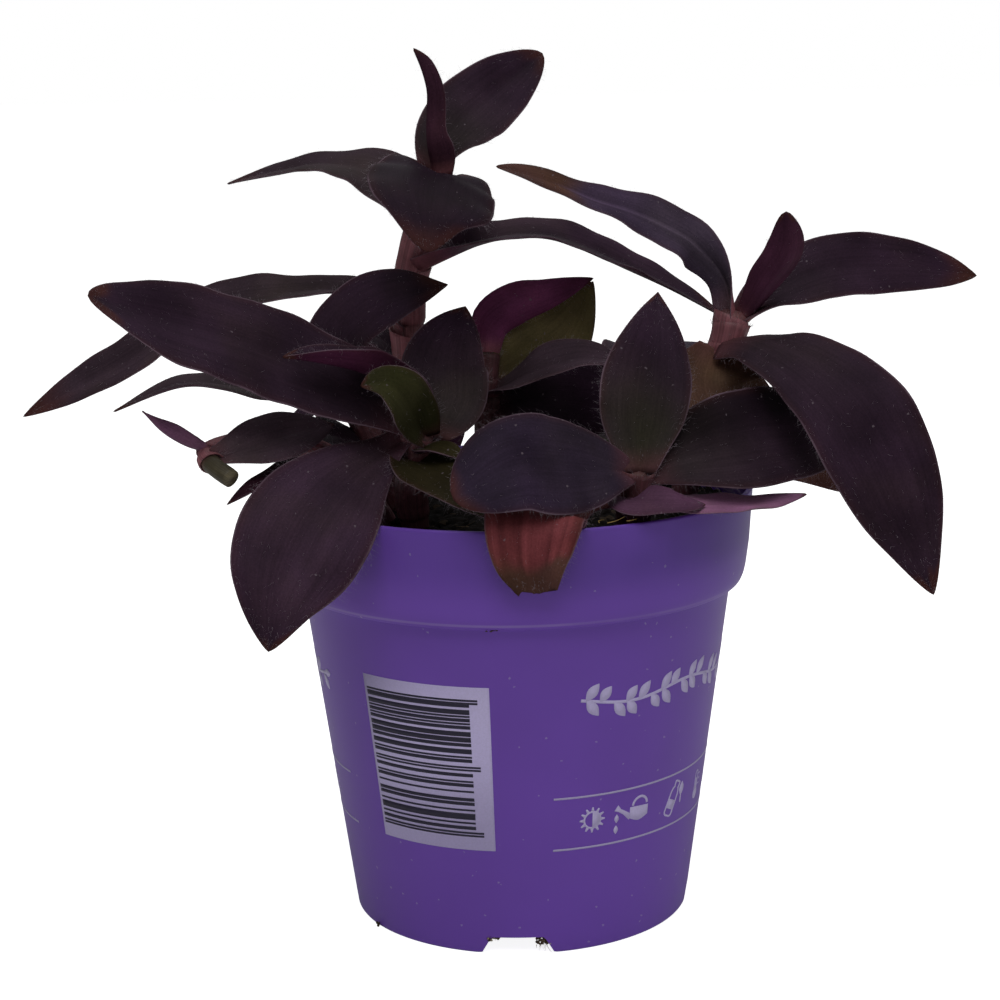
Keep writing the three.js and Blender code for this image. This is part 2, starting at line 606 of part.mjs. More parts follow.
// A blade as one closed thin shell: rows across it from stem to tip, the same on its upper and lower side
function blade(leaf) {
  const { line, faces, fold, curl = 0, reach = 0.3 } = leaf;
  const { widths, blunt = 1.25, lop = 0 } = leaf;
  const { width, widest = 0.42, base = 0.22, taper = [1.25, 1] } = leaf;
  const curve = new THREE.CatmullRomCurve3(line.map(vector), false, "catmullrom", 0.5);
  const rows = THREE.MathUtils.clamp(Math.round(curve.getLength() / ROW_LENGTH), FEWEST_ROWS, MOST_ROWS);
  const columns = 2 * HALF_COLUMNS;
  const centres = curve.getSpacedPoints(rows);
  const upper = [];
  const lower = [];
  for (let i = 0; i < rows; i++) {
    const place = i / rows;
    const along = curve.getTangentAt(place);
    const face = vector(faces[0]).normalize().lerp(vector(faces[1]).normalize(), place);
    const up = face.addScaledVector(along, -face.dot(along)).normalize();
    const side = new THREE.Vector3().crossVectors(along, up);
    const full = widths ? spread(widths, blunt, place) : width * widthShare(place, widest, base, taper);
    const eased = Math.max(1 - place / reach, 0) ** 1.5;
    const stand = radians(fold[1] + (fold[0] - fold[1]) * eased);
    const offset = Math.min(BLADE_THICKNESS / 2 / Math.cos(stand), MOST_OFFSET);
    for (let j = 0; j <= columns; j++) {
      const hand = Math.sign(j - HALF_COLUMNS);
      const half = (full / 2) * (1 - hand * lop);
      const point = centres[i].clone();
      for (let k = 1; k <= Math.abs(j - HALF_COLUMNS); k++) {
        const lean = stand - radians(curl) * ((k - 0.5) / HALF_COLUMNS);
        point.addScaledVector(side, (hand * half * Math.cos(lean)) / HALF_COLUMNS);
        point.addScaledVector(up, (half * Math.sin(lean)) / HALF_COLUMNS);
      }
      upper.push(point.clone().addScaledVector(up, offset));
      lower.push(point.addScaledVector(up, -offset));
    }
  }
  const tip = 2 * upper.length;
  const under = upper.length;
  const triangles = [];
  const quad = (a, b, c, d) => triangles.push(a, b, c, a, c, d);
  const at = (i, j) => i * (columns + 1) + j;
  for (let i = 0; i < rows - 1; i++) {
    for (let j = 0; j < columns; j++) {
      const [a, b, c, d] = [at(i, j), at(i, j + 1), at(i + 1, j + 1), at(i + 1, j)];
      triangles.push(a, b, c, a, c, d);
      triangles.push(under + a, under + c, under + b, under + a, under + d, under + c);
    }
    const [near, far] = [at(i, columns), at(i + 1, columns)];
    quad(under + near, under + far, far, near);
    quad(under + at(i, 0), at(i, 0), at(i + 1, 0), under + at(i + 1, 0));
  }
  const last = rows - 1;
  for (let j = 0; j < columns; j++) {
    quad(under + at(0, j), under + at(0, j + 1), at(0, j + 1), at(0, j));
    triangles.push(at(last, j), at(last, j + 1), tip);
    triangles.push(under + at(last, j), tip, under + at(last, j + 1));
  }
  triangles.push(under + at(last, columns), tip, at(last, columns));
  triangles.push(under + at(last, 0), at(last, 0), tip);
  return toSolid(geometryOf([...upper, ...lower, centres[rows]], triangles));
}

// The stem's line with its buried end added
function rooted(stem) {
  const [x, y, z] = stem[0];
  return [[x, y, z - ROOT_DEPTH], ...stem];
}

function leafyStem({ stem, radii, leaves }) {
  const solids = [tube(rooted(stem), [radii[0], ...radii]), ...leaves.map(blade)];
  return wasm.Manifold.union(solids);
}

// A filled cone of soil with a low mound, root tufts down two drain holes and a plain hole for every stem
function soil() {
  const pad = CENTRE_PAD_RADIUS - PAD_STEP - PAD_GAP;
  const profile = [[0, FLOOR_THICKNESS + GAP], [pad, FLOOR_THICKNESS + GAP]];
  const bed = FLOOR_RISE + FLOOR_THICKNESS + GAP;
  profile.push([CENTRE_PAD_RADIUS - PAD_GAP, bed]);
  profile.push([wallRadius(bed) - SIDE_GAP, bed]);
  profile.push([wallRadius(WALL_STEP_BOTTOM) - SIDE_GAP, WALL_STEP_BOTTOM + GAP]);
  profile.push([WALL_STEP_RADIUS - SIDE_GAP, WALL_STEP_TOP + GAP]);
  profile.push([wallRadius(COLLAR_MIDDLE) - SIDE_GAP, COLLAR_MIDDLE]);
  profile.push([wallRadius(COLLAR_MIDDLE) - SIDE_GAP, SOIL_EDGE_HEIGHT]);
  for (let i = 1; i <= SOIL_RINGS; i++) {
    const share = 1 - i / SOIL_RINGS;
    const rise = (SOIL_MIDDLE_HEIGHT - SOIL_EDGE_HEIGHT) * Math.cos((Math.PI / 2) * share);
    profile.push([(COLLAR_MIDDLE_RADIUS - WALL - GAP) * share, SOIL_EDGE_HEIGHT + rise]);
  }
  let solid = turned(profile, SOIL_SIDES);
  for (const angle of drainAngles().slice(0, 2)) {
    solid = solid.add(rod(ROOT_TUFT_RADIUS, ROOT_TUFT_END, bed + 1, DRAIN_CIRCLE, angle, DRAIN_SIDES));
  }
  for (const { stem, radii } of Object.values(SHOOTS)) {
    const line = rooted(stem);
    line[0] = [line[0][0], line[0][1], line[0][2] - GAP];
    solid = solid.subtract(tube(line, [radii[0], ...radii], GAP));
  }
  return solid;
}

const group = new THREE.Group();
group.add(toMesh("pot", pot(), LOOKS.pot));
group.add(toMesh("soil", soil(), LOOKS.soil));
for (const [name, shoot] of Object.entries(SHOOTS)) {
  group.add(toMesh(name, leafyStem(shoot), LOOKS.shoot));
}

export default group;
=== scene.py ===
"""The looks of a purple heart plant in its printed nursery pot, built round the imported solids.

Lengths are in millimetres until a mesh is made, and the frame is the solids' own: the origin on the ground
under the middle of the pot, the front at -Y and +Z up.
"""

import math

import bpy
import numpy as np
from mathutils import Matrix


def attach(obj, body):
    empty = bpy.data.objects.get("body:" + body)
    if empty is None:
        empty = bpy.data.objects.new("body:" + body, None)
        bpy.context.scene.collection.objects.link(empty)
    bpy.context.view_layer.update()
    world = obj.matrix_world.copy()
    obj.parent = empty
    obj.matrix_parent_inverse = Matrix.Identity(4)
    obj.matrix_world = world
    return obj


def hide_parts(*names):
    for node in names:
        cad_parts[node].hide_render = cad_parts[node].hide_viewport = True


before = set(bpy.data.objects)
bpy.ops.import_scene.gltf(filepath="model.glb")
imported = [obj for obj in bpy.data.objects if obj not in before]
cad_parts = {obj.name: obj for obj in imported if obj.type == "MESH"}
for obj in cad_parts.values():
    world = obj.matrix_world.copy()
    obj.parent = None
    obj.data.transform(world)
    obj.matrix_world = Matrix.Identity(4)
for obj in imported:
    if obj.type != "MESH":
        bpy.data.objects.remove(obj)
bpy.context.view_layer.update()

bl_info = {
    "name": "Purple heart plant",
    "version": (1, 0, 0),
    "blender": (4, 5, 0),
    "location": "3D View > Sidebar > Plant",
    "description": "Builds a potted purple heart plant round its packed solids",
    "category": "Add Mesh",
}

MM = 0.001
ROOT = "root"

# Camera: the photograph's own view, worked out from the pot's rims and walls
CAMERA_AIM = (-3.4, 0.0, 91.7)
CAMERA_DISTANCE = 494.0
CAMERA_PITCH = 11.15
CAMERA_ROLL = 1.07
CAMERA_LENS = 80.0
SENSOR = 36.0

# Pot, as in the solid
WALL = 1.1
POT_HEIGHT = 95.5
RIM_RADIUS = 52.5
RIM_EDGE = 1.3
FOOT_RADIUS = 37.5
FOOT_WIDTH = 3.0
BODY_TOP = 74.4
BODY_TOP_RADIUS = 47.6
COLLAR_STEP = [(49.4, 74.5), (50.0, 75.0), (50.6, 76.4)]
COLLAR_LOWER = (51.0, 78.3)
COLLAR_MIDDLE = 83.5
COLLAR_MIDDLE_RADIUS = 51.7
WALL_STEP_BOTTOM = 75.4
WALL_STEP_TOP = 76.4
WALL_STEP_RADIUS = 49.4
FLOOR_RISE = 4.0
FLOOR_THICKNESS = 1.2
PAD_RADIUS = 14.0
PAD_STEP = 1.0
POT_SIDES = 224
CORNER_ROUND = 0.7
CORNER_STEPS = 5
WALL_STEP = 4.0
NOTCHES = 4
NOTCH_TURN = -2.0
NOTCH_TOP = 12.0
NOTCH_BOTTOM = 15.4
NOTCH_ROUND = 0.6
NOTCH_FLARE = 1.3
NOTCH_FLARE_RISE = 0.3
DRAIN_CIRCLE = 30.5
DRAIN_RADIUS = 2.2
DRAIN_ANGLE = 11.0
DRILL_HEIGHTS = (-1, 6)
SMOOTH_ANGLE = 32.0

# Crumbs that cling to the pot: centre, half the box they lie in, how many and the largest
DIRT = [
    ((-6.6, -36.9, 3.7), (1.6, 0.3, 0.45), 20, 0.45),
    ((3.9, -36.9, 3.1), (1.3, 0.3, 0.85), 80, 0.36),
    ((-5.3, -49.2, 74.45), (1.4, 0.2, 0.12), 9, 0.3),
    ((-31.9, -20.3, 0.7), (0.5, 0.5, 0.3), 7, 0.35),
]
DIRT_TONE = (0.06, 0.038, 0.02)

# A curled straw on the rim: starts, ways and bends
RIM_STRAW = (
    [(16.5, -47.5, 96.0), (18.0, -48.2, 96.1), (22.0, -47.0, 96.2)],
    [(-0.5, 0.2, 0.5), (1, 0.1, 0.1), (1, -0.2, 0.05)],
    [(0.9, 0, -0.3), (0, 0.3, 0.15), (0, 0.4, 0.1)],
)
RIM_STRAW_LENGTHS = (2.4, 3.6, 2.2)
RIM_STRAW_RADII = (0.13, 0.11, 0.1)
RIM_STRAW_TONE = (0.30, 0.20, 0.06)

# Printing on the pot, by the angle round it from the front and the height
LABEL_SPAN = (-46.0, -8.0)
LABEL_HEIGHTS = (24.4, 61.4)
BARS_SPAN = (-45.1, -13.5)
LONG_BARS_END = -11.2
BARS_HEIGHTS = (27.5, 58.6)
BAR_MODULES = 95
GUARD_MODULES = 3
MIDDLE_MODULES = 5
BAR_SPREAD = 0.14
BAND_SPANS = [(9.0, 119.0), (189.0, 299.0)]
BAND_HEIGHTS = (24.2, 36.0)
BAND_LINE = 0.45
SPRIG_SPANS = [(16.0, 112.0), (196.0, 292.0)]
SPRIG_HEIGHT = 57.2
SPRIG_PLACES = 24
ICON_HEIGHT = 30.4
ICON_ANGLES = (11.8, 26.6, 42.8, 59.0, 75.0, 91.0)
SUN_RADIUS = 1.85
INK = 0.05
PANEL_LIFT = 0.04
PRINTING_SEED = 21

# Painted light on the pot: a painted highlight line along the ledge, and painted shade on the collar above a
# height, where the leaves overhang it
LEDGE_LINE = 75.5
PAINTED_HIGHLIGHT_REACH = (0.42, 0.12)
PAINTED_SHADE_HEIGHTS = (78.0, 88.0)
PAINTED_SHADE_TINT = (0.58, 0.6, 0.66, 1)

# Soil
SOIL_EDGE = 89.0
SOIL_MIDDLE = 91.0
SOIL_SIDE_GAP = 0.4
SOIL_LOW_GAP = 0.3
GRAINS = 5200
BATCH = 60
CRUMBS = 800
STRAWS = 150
ROOTS_LOWEST = 0.15
SOIL_RINGS = 110
SOIL_SIDES = 360
STRAW_ROWS = 6
STRAW_SIDES = 5
TUFT_CRUMBS = 70
TUFT_ROOTS = 26
PALE_CRUMBS = 8
PALE_TONE = (0.42, 0.36, 0.27)

# Leaves and stems
CREASE = 0.07
HALF_COLUMNS = 11
ROW_STEP = 1.1
FEWEST_ROWS = 24
MOST_ROWS = 84
DENSE = 160
STEM_SIDES = 32
STEM_STEP = 1.0
ROOT_DEPTH = 10.0
STEM_SHARE = 0.94
STEM_SHADE = 0.75
SHEATH_LENGTH = 14.0
SHEATH_LIFT = 0.15
SHEATH_STACK = 0.04
SHEATH_FLARE = 0.5
SHEATH_WALL = 0.28
CUT_TONE = (0.07, 0.058, 0.034)
PATCH_TINT = (1.1, 1.25, 0.8, 1)
GROOVE_DEPTH = 0.22
GROOVE_WIDTH = 0.06
TEETH = 15

# Low waves of a leaf, two along its edges and a long one: height, and length over 2 pi
WAVES = ((0.34, 3.6), (0.2, 1.7), (0.3, 6.1))

# Hairs: how many to a millimetre of both edges, to a square millimetre of half a leaf, and round a sheath
EDGE_HAIRS = 3.0
FACE_HAIRS = 0.75
UPPER_SHARE = 0.75
MOUTH_HAIRS = 40
WALL_HAIRS = 60
EDGE_HAIR_LENGTHS = (0.5, 1.5)
FACE_HAIR_LENGTHS = (0.3, 1.3)
MOUTH_HAIR_LENGTHS = (1.2, 2.6)
WALL_HAIR_LENGTHS = (0.5, 1.4)
LEAF_HAIR_RADII = (0.008, 0.015)
SHEATH_HAIR_RADII = (0.012, 0.02)

# Stage: half the floor's width in metres, and its own light as the camera sees it
FLOOR_REACH = 12.0
FLOOR_GLOW = 0.9

# Lights: name, the setting that holds its power, side and place in metres
LIGHTS = (
    ("key light", "key", 0.9, (-0.08, -0.72, 1.26)),
    ("top light", "top", 1.0, (0.05, 0.15, 1.25)),
    ("fill light", "fill", 0.9, (1.1, -0.75, 0.5)),
    ("back light", "back", 1.0, (0.1, 1.1, 0.9)),
)
LIGHTS_AIM = (0, 0, 0.1)

# Shoots, in millimetres and degrees. A leaf's line is its midrib, its widths stand at even steps along it, and
# its faces are the ways that its upper side looks at the base and at the tip. Its halves stand up by fold,
# at the base and from reach on, and come down again by curl at the edge. The colours follow leaf_tones.
SHOOTS = {
    "tall_shoot": dict(
        stem=[(-20.5, 6, 91), (-22.5, 8, 113.5), (-23, 8, 130), (-21.5, 4, 144.5), (-15.5, 2, 164.5)],
        radii=(3, 3.3, 3.6, 3.4, 2.2),
        leaves=[
            dict(
                line=[(-16, 2, 161), (-15.5, -8, 164), (-16, -22, 162), (-16.5, -33, 157), (-17, -38, 150)],
                widths=(13, 21, 25.5, 27.5, 27.5, 24.5, 14, 0), blunt=1.4,
                faces=[(0.3, 0, 1), (0.15, -1, 0.2)], fold=(55, 4), curl=20, tone="deep", tip=0.1,
                light=0.6, green=0.0,
            ),
            dict(
                line=[
                    (-20, 3, 152), (-24.5, 6, 158.5), (-30, 10, 163.5), (-36.5, 14, 165), (-43.5, 18, 165.5),
                    (-51.5, 22, 164), (-64.5, 28, 161),
                ],
                widths=(12, 15, 16, 15, 12, 9.5, 8, 6.5, 0),
                faces=[(0.2, -0.8, 0.8), (0.05, -0.3, 1)], fold=(50, 12), tone="grey", tip=0.12,
                light=0.85,
            ),
            dict(
                line=[
                    (-20, 2, 143), (-6.5, -1, 149), (4, 1, 150), (15, 4, 147.5), (28.5, 7, 141),
                    (47, 12, 130.5),
                ],
                widths=(10, 12, 13.5, 14.5, 15, 15.5, 14, 11, 0), blunt=1.6,
                faces=[(0, -0.3, 1), (0, -0.3, 1)], fold=(60, 16), tone="deep", tip=0.05,
                green=0.15, light=1.55,
            ),
            dict(
                line=[
                    (-16.5, 3, 163.5), (-13.5, 8, 170), (-10, 12, 174.5), (-5.5, 16, 178.5), (-1, 19, 182),
                    (3.5, 21, 185.5), (8, 23, 189),
                ],
                widths=(9, 13, 16, 17.5, 17.5, 16.5, 14, 9.5, 0), blunt=1.6,
                faces=[(-0.35, -1, 0.2), (0.2, -1, 0.5)], fold=(50, 12), tone="deep", tip=0.07, green=0.4,
            ),
            dict(
                line=[
                    (-16, 1, 163), (-17, -2, 171), (-17, -3, 177.5), (-17, -4, 181.5),
                    (-18, -4, 185.5), (-20, -3, 190.5),
                ],
                widths=(7.5, 10, 10.5, 8.5, 7.5, 7, 6.5, 5, 0),
                faces=[(1, 0.55, 0.1), (1, 0.5, 0.2)], fold=(66, 62), reach=1, tone="young", green=0.5,
                plum=0.0,
            ),
            dict(
                line=[
                    (-24, 6, 128.5), (-31, 10, 135.5), (-45, 14, 137.5), (-67, 18, 134),
                    (-89.5, 20, 121), (-113, 22, 109),
                ],
                widths=(6, 9, 11, 12.5, 13, 12.5, 11, 7.5, 0),
                faces=[(0.1, -0.25, 1), (0.1, -0.9, 0.6)], fold=(60, 16), tone="grey", tip=0.08,
            ),
            dict(
                line=[(-23, 8, 121), (-29, 12, 126), (-37, 15, 128)],
                width=9, faces=[(0, -0.4, 1), (0, -0.4, 1)], fold=(50, 15), tone="deep",
            ),
        ],
    ),
    "right_shoot": dict(
        stem=[(38, 6, 91), (41.5, 4, 106), (46.5, 0, 124.5), (48.5, 0, 133)],
        radii=(3.2, 3.4, 3.6, 3.5), painted_dim=0.72,
        leaves=[
            dict(
                line=[
                    (48.5, 0, 131.5), (46.5, 0, 140), (41, -1, 146.5), (34, -3, 151),
                    (26, -4, 155), (17, -5, 158), (7.5, -6, 162), (-3, -8, 165.5),
                ],
                widths=(8.5, 8.5, 10, 11.5, 12, 10, 7, 8, 0), blunt=1.5,
                faces=[(-0.8, -0.5, 0.3), (0.05, -0.45, 1)], fold=(55, 14),
                tone="bloom", dry=0.24, rib=1, green=0.5, light=(3.2, 1.7),
            ),
            dict(
                line=[(50, 1, 129.5), (58, 4, 136), (70.5, 8, 141), (87, 12, 141), (105, 16, 138)],
                widths=(8, 12, 14.5, 15.5, 15.5, 14, 11.5, 7.5, 0),
                faces=[(-0.5, -0.8, 0.6), (0, -1, 0.3)], fold=(62, 8), tone="deep", tip=0.1,
            ),
            dict(
                line=[(50, 0, 129.5), (55, -5, 139), (59, -9, 147), (58.5, -10, 155)],
                widths=(6, 8, 10, 10, 8.5, 0), blunt=1.7,
                faces=[(-0.2, 0.9, -0.1), (-0.1, 1, 0)], fold=(60, 30), reach=0.9, tone="young", plum=0.15,
                light=1.15,
            ),
            dict(
                line=[
                    (46, -3, 126.5), (50.5, -9, 127.5), (55.5, -15, 126), (63.5, -20, 121),
                    (70.5, -24, 114.5), (76.5, -27, 104), (81.5, -29, 91.5), (87.5, -30, 75.5),
                ],
                widths=(10, 13, 18, 22, 24, 22.5, 18.5, 10.5, 0),
                faces=[(0.1, -0.6, 1), (-0.35, -1, 0.5)], fold=(-30, 6), tone="deep",
            ),
            dict(
                line=[(45, -2, 124.5), (44, -8, 116), (53.5, -7, 106.5), (72.5, -2, 92.5)],
                widths=(12, 21, 21, 14, 7, 0),
                faces=[(0.1, -0.8, 0.6), (0.2, -0.9, 0.3)], fold=(40, 8), tone="blush", tip=0.2, green=0.3,
                light=1.15,
            ),
        ],
    ),
    "front_shoot": dict(
        stem=[(24, -32, 91), (24.5, -33, 97), (25, -34, 104)],
        radii=(3, 3.2, 3.2), painted_dim=0.4,
        leaves=[
            dict(
                line=[
                    (25.5, -34, 103.5), (26, -32, 113), (27.5, -28.5, 123), (29, -25, 131),
                    (30.5, -20, 139.5),
                ],
                widths=(8, 12.5, 17, 19, 19, 16.5, 12.5, 7, 0), blunt=1,
                faces=[(0, -1, 0.2), (0, -1, 0.1)], fold=(40, 10), tone="deep", green=0.6, hair=2,
            ),
            dict(
                line=[(23, -35, 103.5), (17, -41, 106), (9, -47, 108), (-1, -53, 109), (-12.5, -57, 103)],
                widths=(6, 11.5, 17.5, 21, 22, 21.5, 19.5, 14.5, 0), blunt=1.8,
                faces=[(0, -0.9, 0.6), (-0.2, -1, 0.5)], fold=(45, 6), curl=14,
                tone="bloom", tip=0.06, ruffle=0.3,
            ),
            dict(
                line=[
                    (25.5, -34, 103.5), (36, -33, 107), (48, -26, 108.5), (61.5, -15, 108),
                    (75, -4, 104.5),
                ],
                widths=(5, 12, 19, 22, 22, 21, 18, 12, 0), blunt=1.5,
                faces=[(0, -0.9, 0.5), (0, -1, 0.4)], fold=(8, 6), tone="deep",
                shade=-0.55, green=0.3,
            ),
            dict(
                line=[
                    (23.5, -32.5, 96), (12, -38, 99.5), (5, -47, 100.5), (3, -54, 97.5),
                    (2.5, -56, 90.5), (3.5, -55.5, 83.5),
                ],
                widths=(5, 9, 15, 20.5, 20, 16.5, 8.5), faces=[(0, -0.3, 1), (0, -1, 0)], fold=(40, 5),
                tone="old", torn=0.04, streaks=0.85, dry=0.1,
            ),
            dict(
                line=[(24.5, -34, 98), (30, -40, 98), (38, -38, 97), (51, -30, 96), (61.5, -24, 96.5)],
                widths=(6, 10, 12, 12, 11, 8, 0), faces=[(0, -0.12, 1), (0, -0.12, 1)], fold=(20, 6),
                tone="rim", plum=0.3, light=2.5,
            ),
            dict(
                line=[(23.5, -34, 98), (23.5, -41.5, 99), (31.5, -45, 99.5), (38.5, -41, 98)],
                widths=(7, 9.5, 10, 7, 0), faces=[(0, -0.5, 1), (0, -0.5, 1)], fold=(8, 4),
                tone="rim", plum=0.3, light=0.82,
            ),
        ],
    ),
    "centre_shoot": dict(
        stem=[(-21.5, -24, 91), (-22, -25, 99), (-20, -27, 112)],
        radii=(3.2, 3.2, 3), painted_dim=0.5,
        leaves=[
            dict(
                line=[
                    (-22.5, -26, 111), (-35, -28, 122), (-48, -32, 129), (-61.5, -38, 135),
                    (-72.5, -44, 139), (-83, -52, 144),
                ],
                widths=(10, 17.5, 21.5, 24, 25, 25.5, 23, 16, 0), blunt=1.8, lop=0.1,
                faces=[(0.2, -0.7, 0.8), (0, -0.7, 0.8)], fold=(55, 6), tone="deep",
            ),
            dict(
                line=[
                    (-22, -27.5, 111), (-28, -31.5, 107.5), (-34, -38.5, 104.5), (-40.5, -46, 98.5),
                    (-45, -51.5, 91), (-48, -55.5, 83), (-50, -57, 73),
                ],
                widths=(5, 9, 16, 23, 26.5, 26.5, 22.5, 13, 0),
                faces=[(0.2, -0.6, 0.8), (0.05, -1, 0.25)], fold=(45, 5), curl=12, tone="deep", hair=1.5,
                light=1.4,
            ),
            dict(
                line=[(-18, -26, 110.5), (-15, -23, 118), (-14.5, -17, 125.5), (-10, -9, 136)],
                widths=(11, 15, 18, 19, 18.5, 16.5, 13, 8, 0), blunt=1.1,
                faces=[(0.1, -1, 0.1), (0.1, -1, 0.3)], fold=(50, 10), tone="deep", green=0.45, tip=0.05,
            ),
            dict(
                line=[
                    (-19, -28, 111), (-21, -34, 117), (-23.5, -39, 122), (-27, -42, 124.5),
                    (-31, -43, 124),
                ],
                widths=(7, 10, 11.5, 11.5, 8, 0), faces=[(0.5, -1, 0.2), (0, -1, 0.4)], fold=(50, 20),
                tone="fresh",
            ),
            dict(
                line=[(-21.5, -27, 105.5), (-17, -36, 105.5), (-12.5, -43, 103.5), (-4, -50, 97.5)],
                widths=(12, 15, 16, 14, 10, 6, 0), faces=[(0.2, -0.7, 0.8), (0.2, -0.9, 0.5)], fold=(45, 8),
                tone="olive", hair=2,
            ),
            dict(
                line=[(-21.5, -28, 107.5), (-16, -34, 109.5), (-10, -38, 107.5)],
                width=7, faces=[(0, -0.2, 1), (0, -0.2, 1)], fold=(40, 15), widest=0.45, tone="olive",
            ),
            dict(
                line=[
                    (-20.5, -27, 111.5), (-25, -30, 121.5), (-31, -33, 125.5), (-38.5, -38, 128.5),
                    (-46.5, -42, 130),
                ],
                widths=(8, 14, 17, 16, 12, 7.5, 0), faces=[(0.1, 0.1, 1), (0.1, -0.1, 1)], fold=(60, 42),
                tone="deep", plum=0.6,
            ),
        ],
    ),
    "left_shoot": dict(
        stem=[(-25.5, -6, 91), (-30.5, -6, 104.5), (-35.5, -6, 117)],
        radii=(2.8, 2.8, 2.6), painted_dim=0.5,
        leaves=[
            dict(
                line=[(-35.5, -6, 116), (-38.5, -8, 127.5), (-30, -10, 136.5), (-13.5, -12, 141)],
                width=16.5, faces=[(-0.3, -1, 0.5), (0, -0.8, 0.8)], fold=(50, 8), widest=0.5, base=0.45,
                tone="deep", tip=0.12,
            ),
            dict(
                line=[(-35.5, -7, 115), (-53, -14, 118.5), (-70, -18, 121.5), (-84.5, -22, 116.5)],
                widths=(7, 11, 14, 15, 10, 4.5, 0), faces=[(0, -0.2, 1), (0, -0.2, 1)], fold=(50, 12),
                tone="grey",
            ),
            dict(
                line=[(-30.5, -7, 104), (-37, -12, 108), (-44, -15, 109), (-51, -17, 107)],
                width=14, faces=[(0.2, -0.4, 1), (0, -0.4, 1)], fold=(50, 10), widest=0.45, tone="deep",
            ),
        ],
    ),
    "pruned_shoot": dict(
        stem=[
            (-28, -18, 91), (-39.5, -22, 106), (-52, -28, 111), (-60, -33, 110.5), (-63, -37, 109),
            (-61, -40.5, 107.5), (-57.5, -43, 105.5),
        ],
        radii=(2.5, 2.5, 2.3, 2, 2, 2, 2.1), cut=8,
        leaves=[
            dict(
                line=[(-61.5, -39, 108.5), (-55.5, -37, 110.5), (-46.5, -30, 112.5), (-38, -22, 113)],
                width=12.5, faces=[(0, -0.8, 0.7), (0, -0.8, 0.7)], fold=(50, 8), widest=0.45, base=0.45,
                tone="grey", light=1.7,
            ),
            dict(
                line=[(-62, -37, 110), (-66, -37, 112), (-71, -36, 114.5), (-76.5, -34, 118.5)],
                width=4, faces=[(0, 0.8, 0.4), (0, 0.8, 0.4)], fold=(50, 25), taper=(1, 1.2),
                base=0.5, tone="blush", lower="rim", plum=0.0, light=1.5,
            ),
            dict(
                line=[(-45, -25, 108.5), (-48, -32, 106), (-53, -37.5, 103.5), (-59, -42, 100)],
                width=4.5, faces=[(0, -0.5, 0.8), (0, -0.5, 0.8)], fold=(40, 15), widest=0.5, tone="young",
            ),
        ],
    ),
    "middle_shoot": dict(
        stem=[(-5.5, 6, 91), (-6, 5, 104.5), (-6, 4, 114.5), (-5.5, 6, 124)],
        radii=(2.6, 2.6, 2.4, 2.2), painted_dim=0.3,
        leaves=[
            dict(
                line=[(-6, 6, 123), (-5, 7, 130), (1, 9, 134), (8, 10, 136), (18.5, 12, 139.5)],
                widths=(7, 9, 10.5, 10, 7.5, 4.5, 0), faces=[(0.2, 1, 0.3), (0.2, 1, 0.2)], fold=(50, 20),
                tone="young", plum=0.6, light=2.4,
            ),
            dict(
                line=[(-5.5, 6, 118), (3, 11, 121.5), (12, 14.5, 127.5), (18.5, 15, 138.5)],
                widths=(7, 13, 16, 17, 16, 12, 7, 0), faces=[(-0.3, -1, 0.2), (-0.3, -1, 0.2)], fold=(50, 8),
                tone="olive", light=4.2, green=0.0,
            ),
            dict(
                line=[(-5.5, 3, 114), (3.5, -4, 120), (14.5, -6, 124), (26, -6, 122.5)],
                width=14, faces=[(0, -0.45, 1), (0, -0.45, 1)], fold=(50, 15), widest=0.45, base=0.45,
                tone="grey",
            ),
            dict(
                line=[(-5, 4, 112), (4, 4, 114), (15, 8, 113), (28, 12, 109)],
                width=19, faces=[(0, -1, 0.3), (0, -1, 0.3)], fold=(50, 10), widest=0.5, base=0.4,
                tone="deep",
            ),
        ],
    ),
    "back_left_shoot": dict(
        stem=[(-26, 26, 91), (-30, 30, 101), (-33, 33, 113)],
        radii=(2.8, 3, 2.6), painted_dim=0.6,
        leaves=[
            dict(
                line=[(-32, 32, 110), (-38, 46, 116), (-44, 60, 112), (-48, 72, 98)],
                width=22, faces=[(-0.3, -0.5, 1), (-0.3, 0.8, 0.6)], fold=(55, 8), widest=0.45,
                tone="deep", tip=0.08,
            ),
            dict(
                line=[(-31, 31, 107), (-42, 34, 118), (-54, 37, 123), (-66, 38, 120)],
                width=15, faces=[(0.5, 0.2, 1), (-0.2, 0.3, 1)], fold=(55, 15), widest=0.45,
                tone="bloom", tip=0.05,
            ),
            dict(
                line=[(-33, 33, 111), (-34, 38, 121), (-36, 46, 128), (-38, 53, 129)],
                width=12, faces=[(0, -1, 0.3), (0, -0.6, 1)], fold=(60, 25), widest=0.45, tone="young",
            ),
            dict(
                line=[(-30, 30, 103), (-24, 44, 106), (-19, 58, 101), (-15, 69, 88)],
                width=17, faces=[(0, -0.3, 1), (0.2, 0.9, 0.5)], fold=(55, 8), widest=0.45, tone="deep",
            ),
            dict(
                line=[(-29, 28, 102), (-37, 24, 109), (-45, 19, 110), (-52, 14, 105)],
                width=13, faces=[(0.3, 0, 1), (-0.2, 0, 1)], fold=(55, 12), widest=0.45,
                tone="deep", green=0.3,
            ),
        ],
    ),
    "back_right_shoot": dict(
        stem=[(24, 27, 91), (24, 31, 101), (24, 35, 113)],
        radii=(2.8, 3, 2.6), painted_dim=0.6,
        leaves=[
            dict(
                line=[(24, 34, 109), (31, 47, 116), (37, 61, 113), (41, 75, 100)],
                width=24, faces=[(0.2, -0.5, 1), (0.2, 0.8, 0.6)], fold=(55, 8), widest=0.45,
                tone="deep", tip=0.06,
            ),
            dict(
                line=[(25, 34, 110), (38, 37, 119), (54, 39, 118), (69, 40, 107)],
                width=20, faces=[(-0.4, 0, 1), (0.3, 0.2, 1)], fold=(55, 8), widest=0.45, tone="bloom",
            ),
            dict(
                line=[(24, 34, 112), (29, 38, 118), (33, 43, 122), (36, 49, 122)],
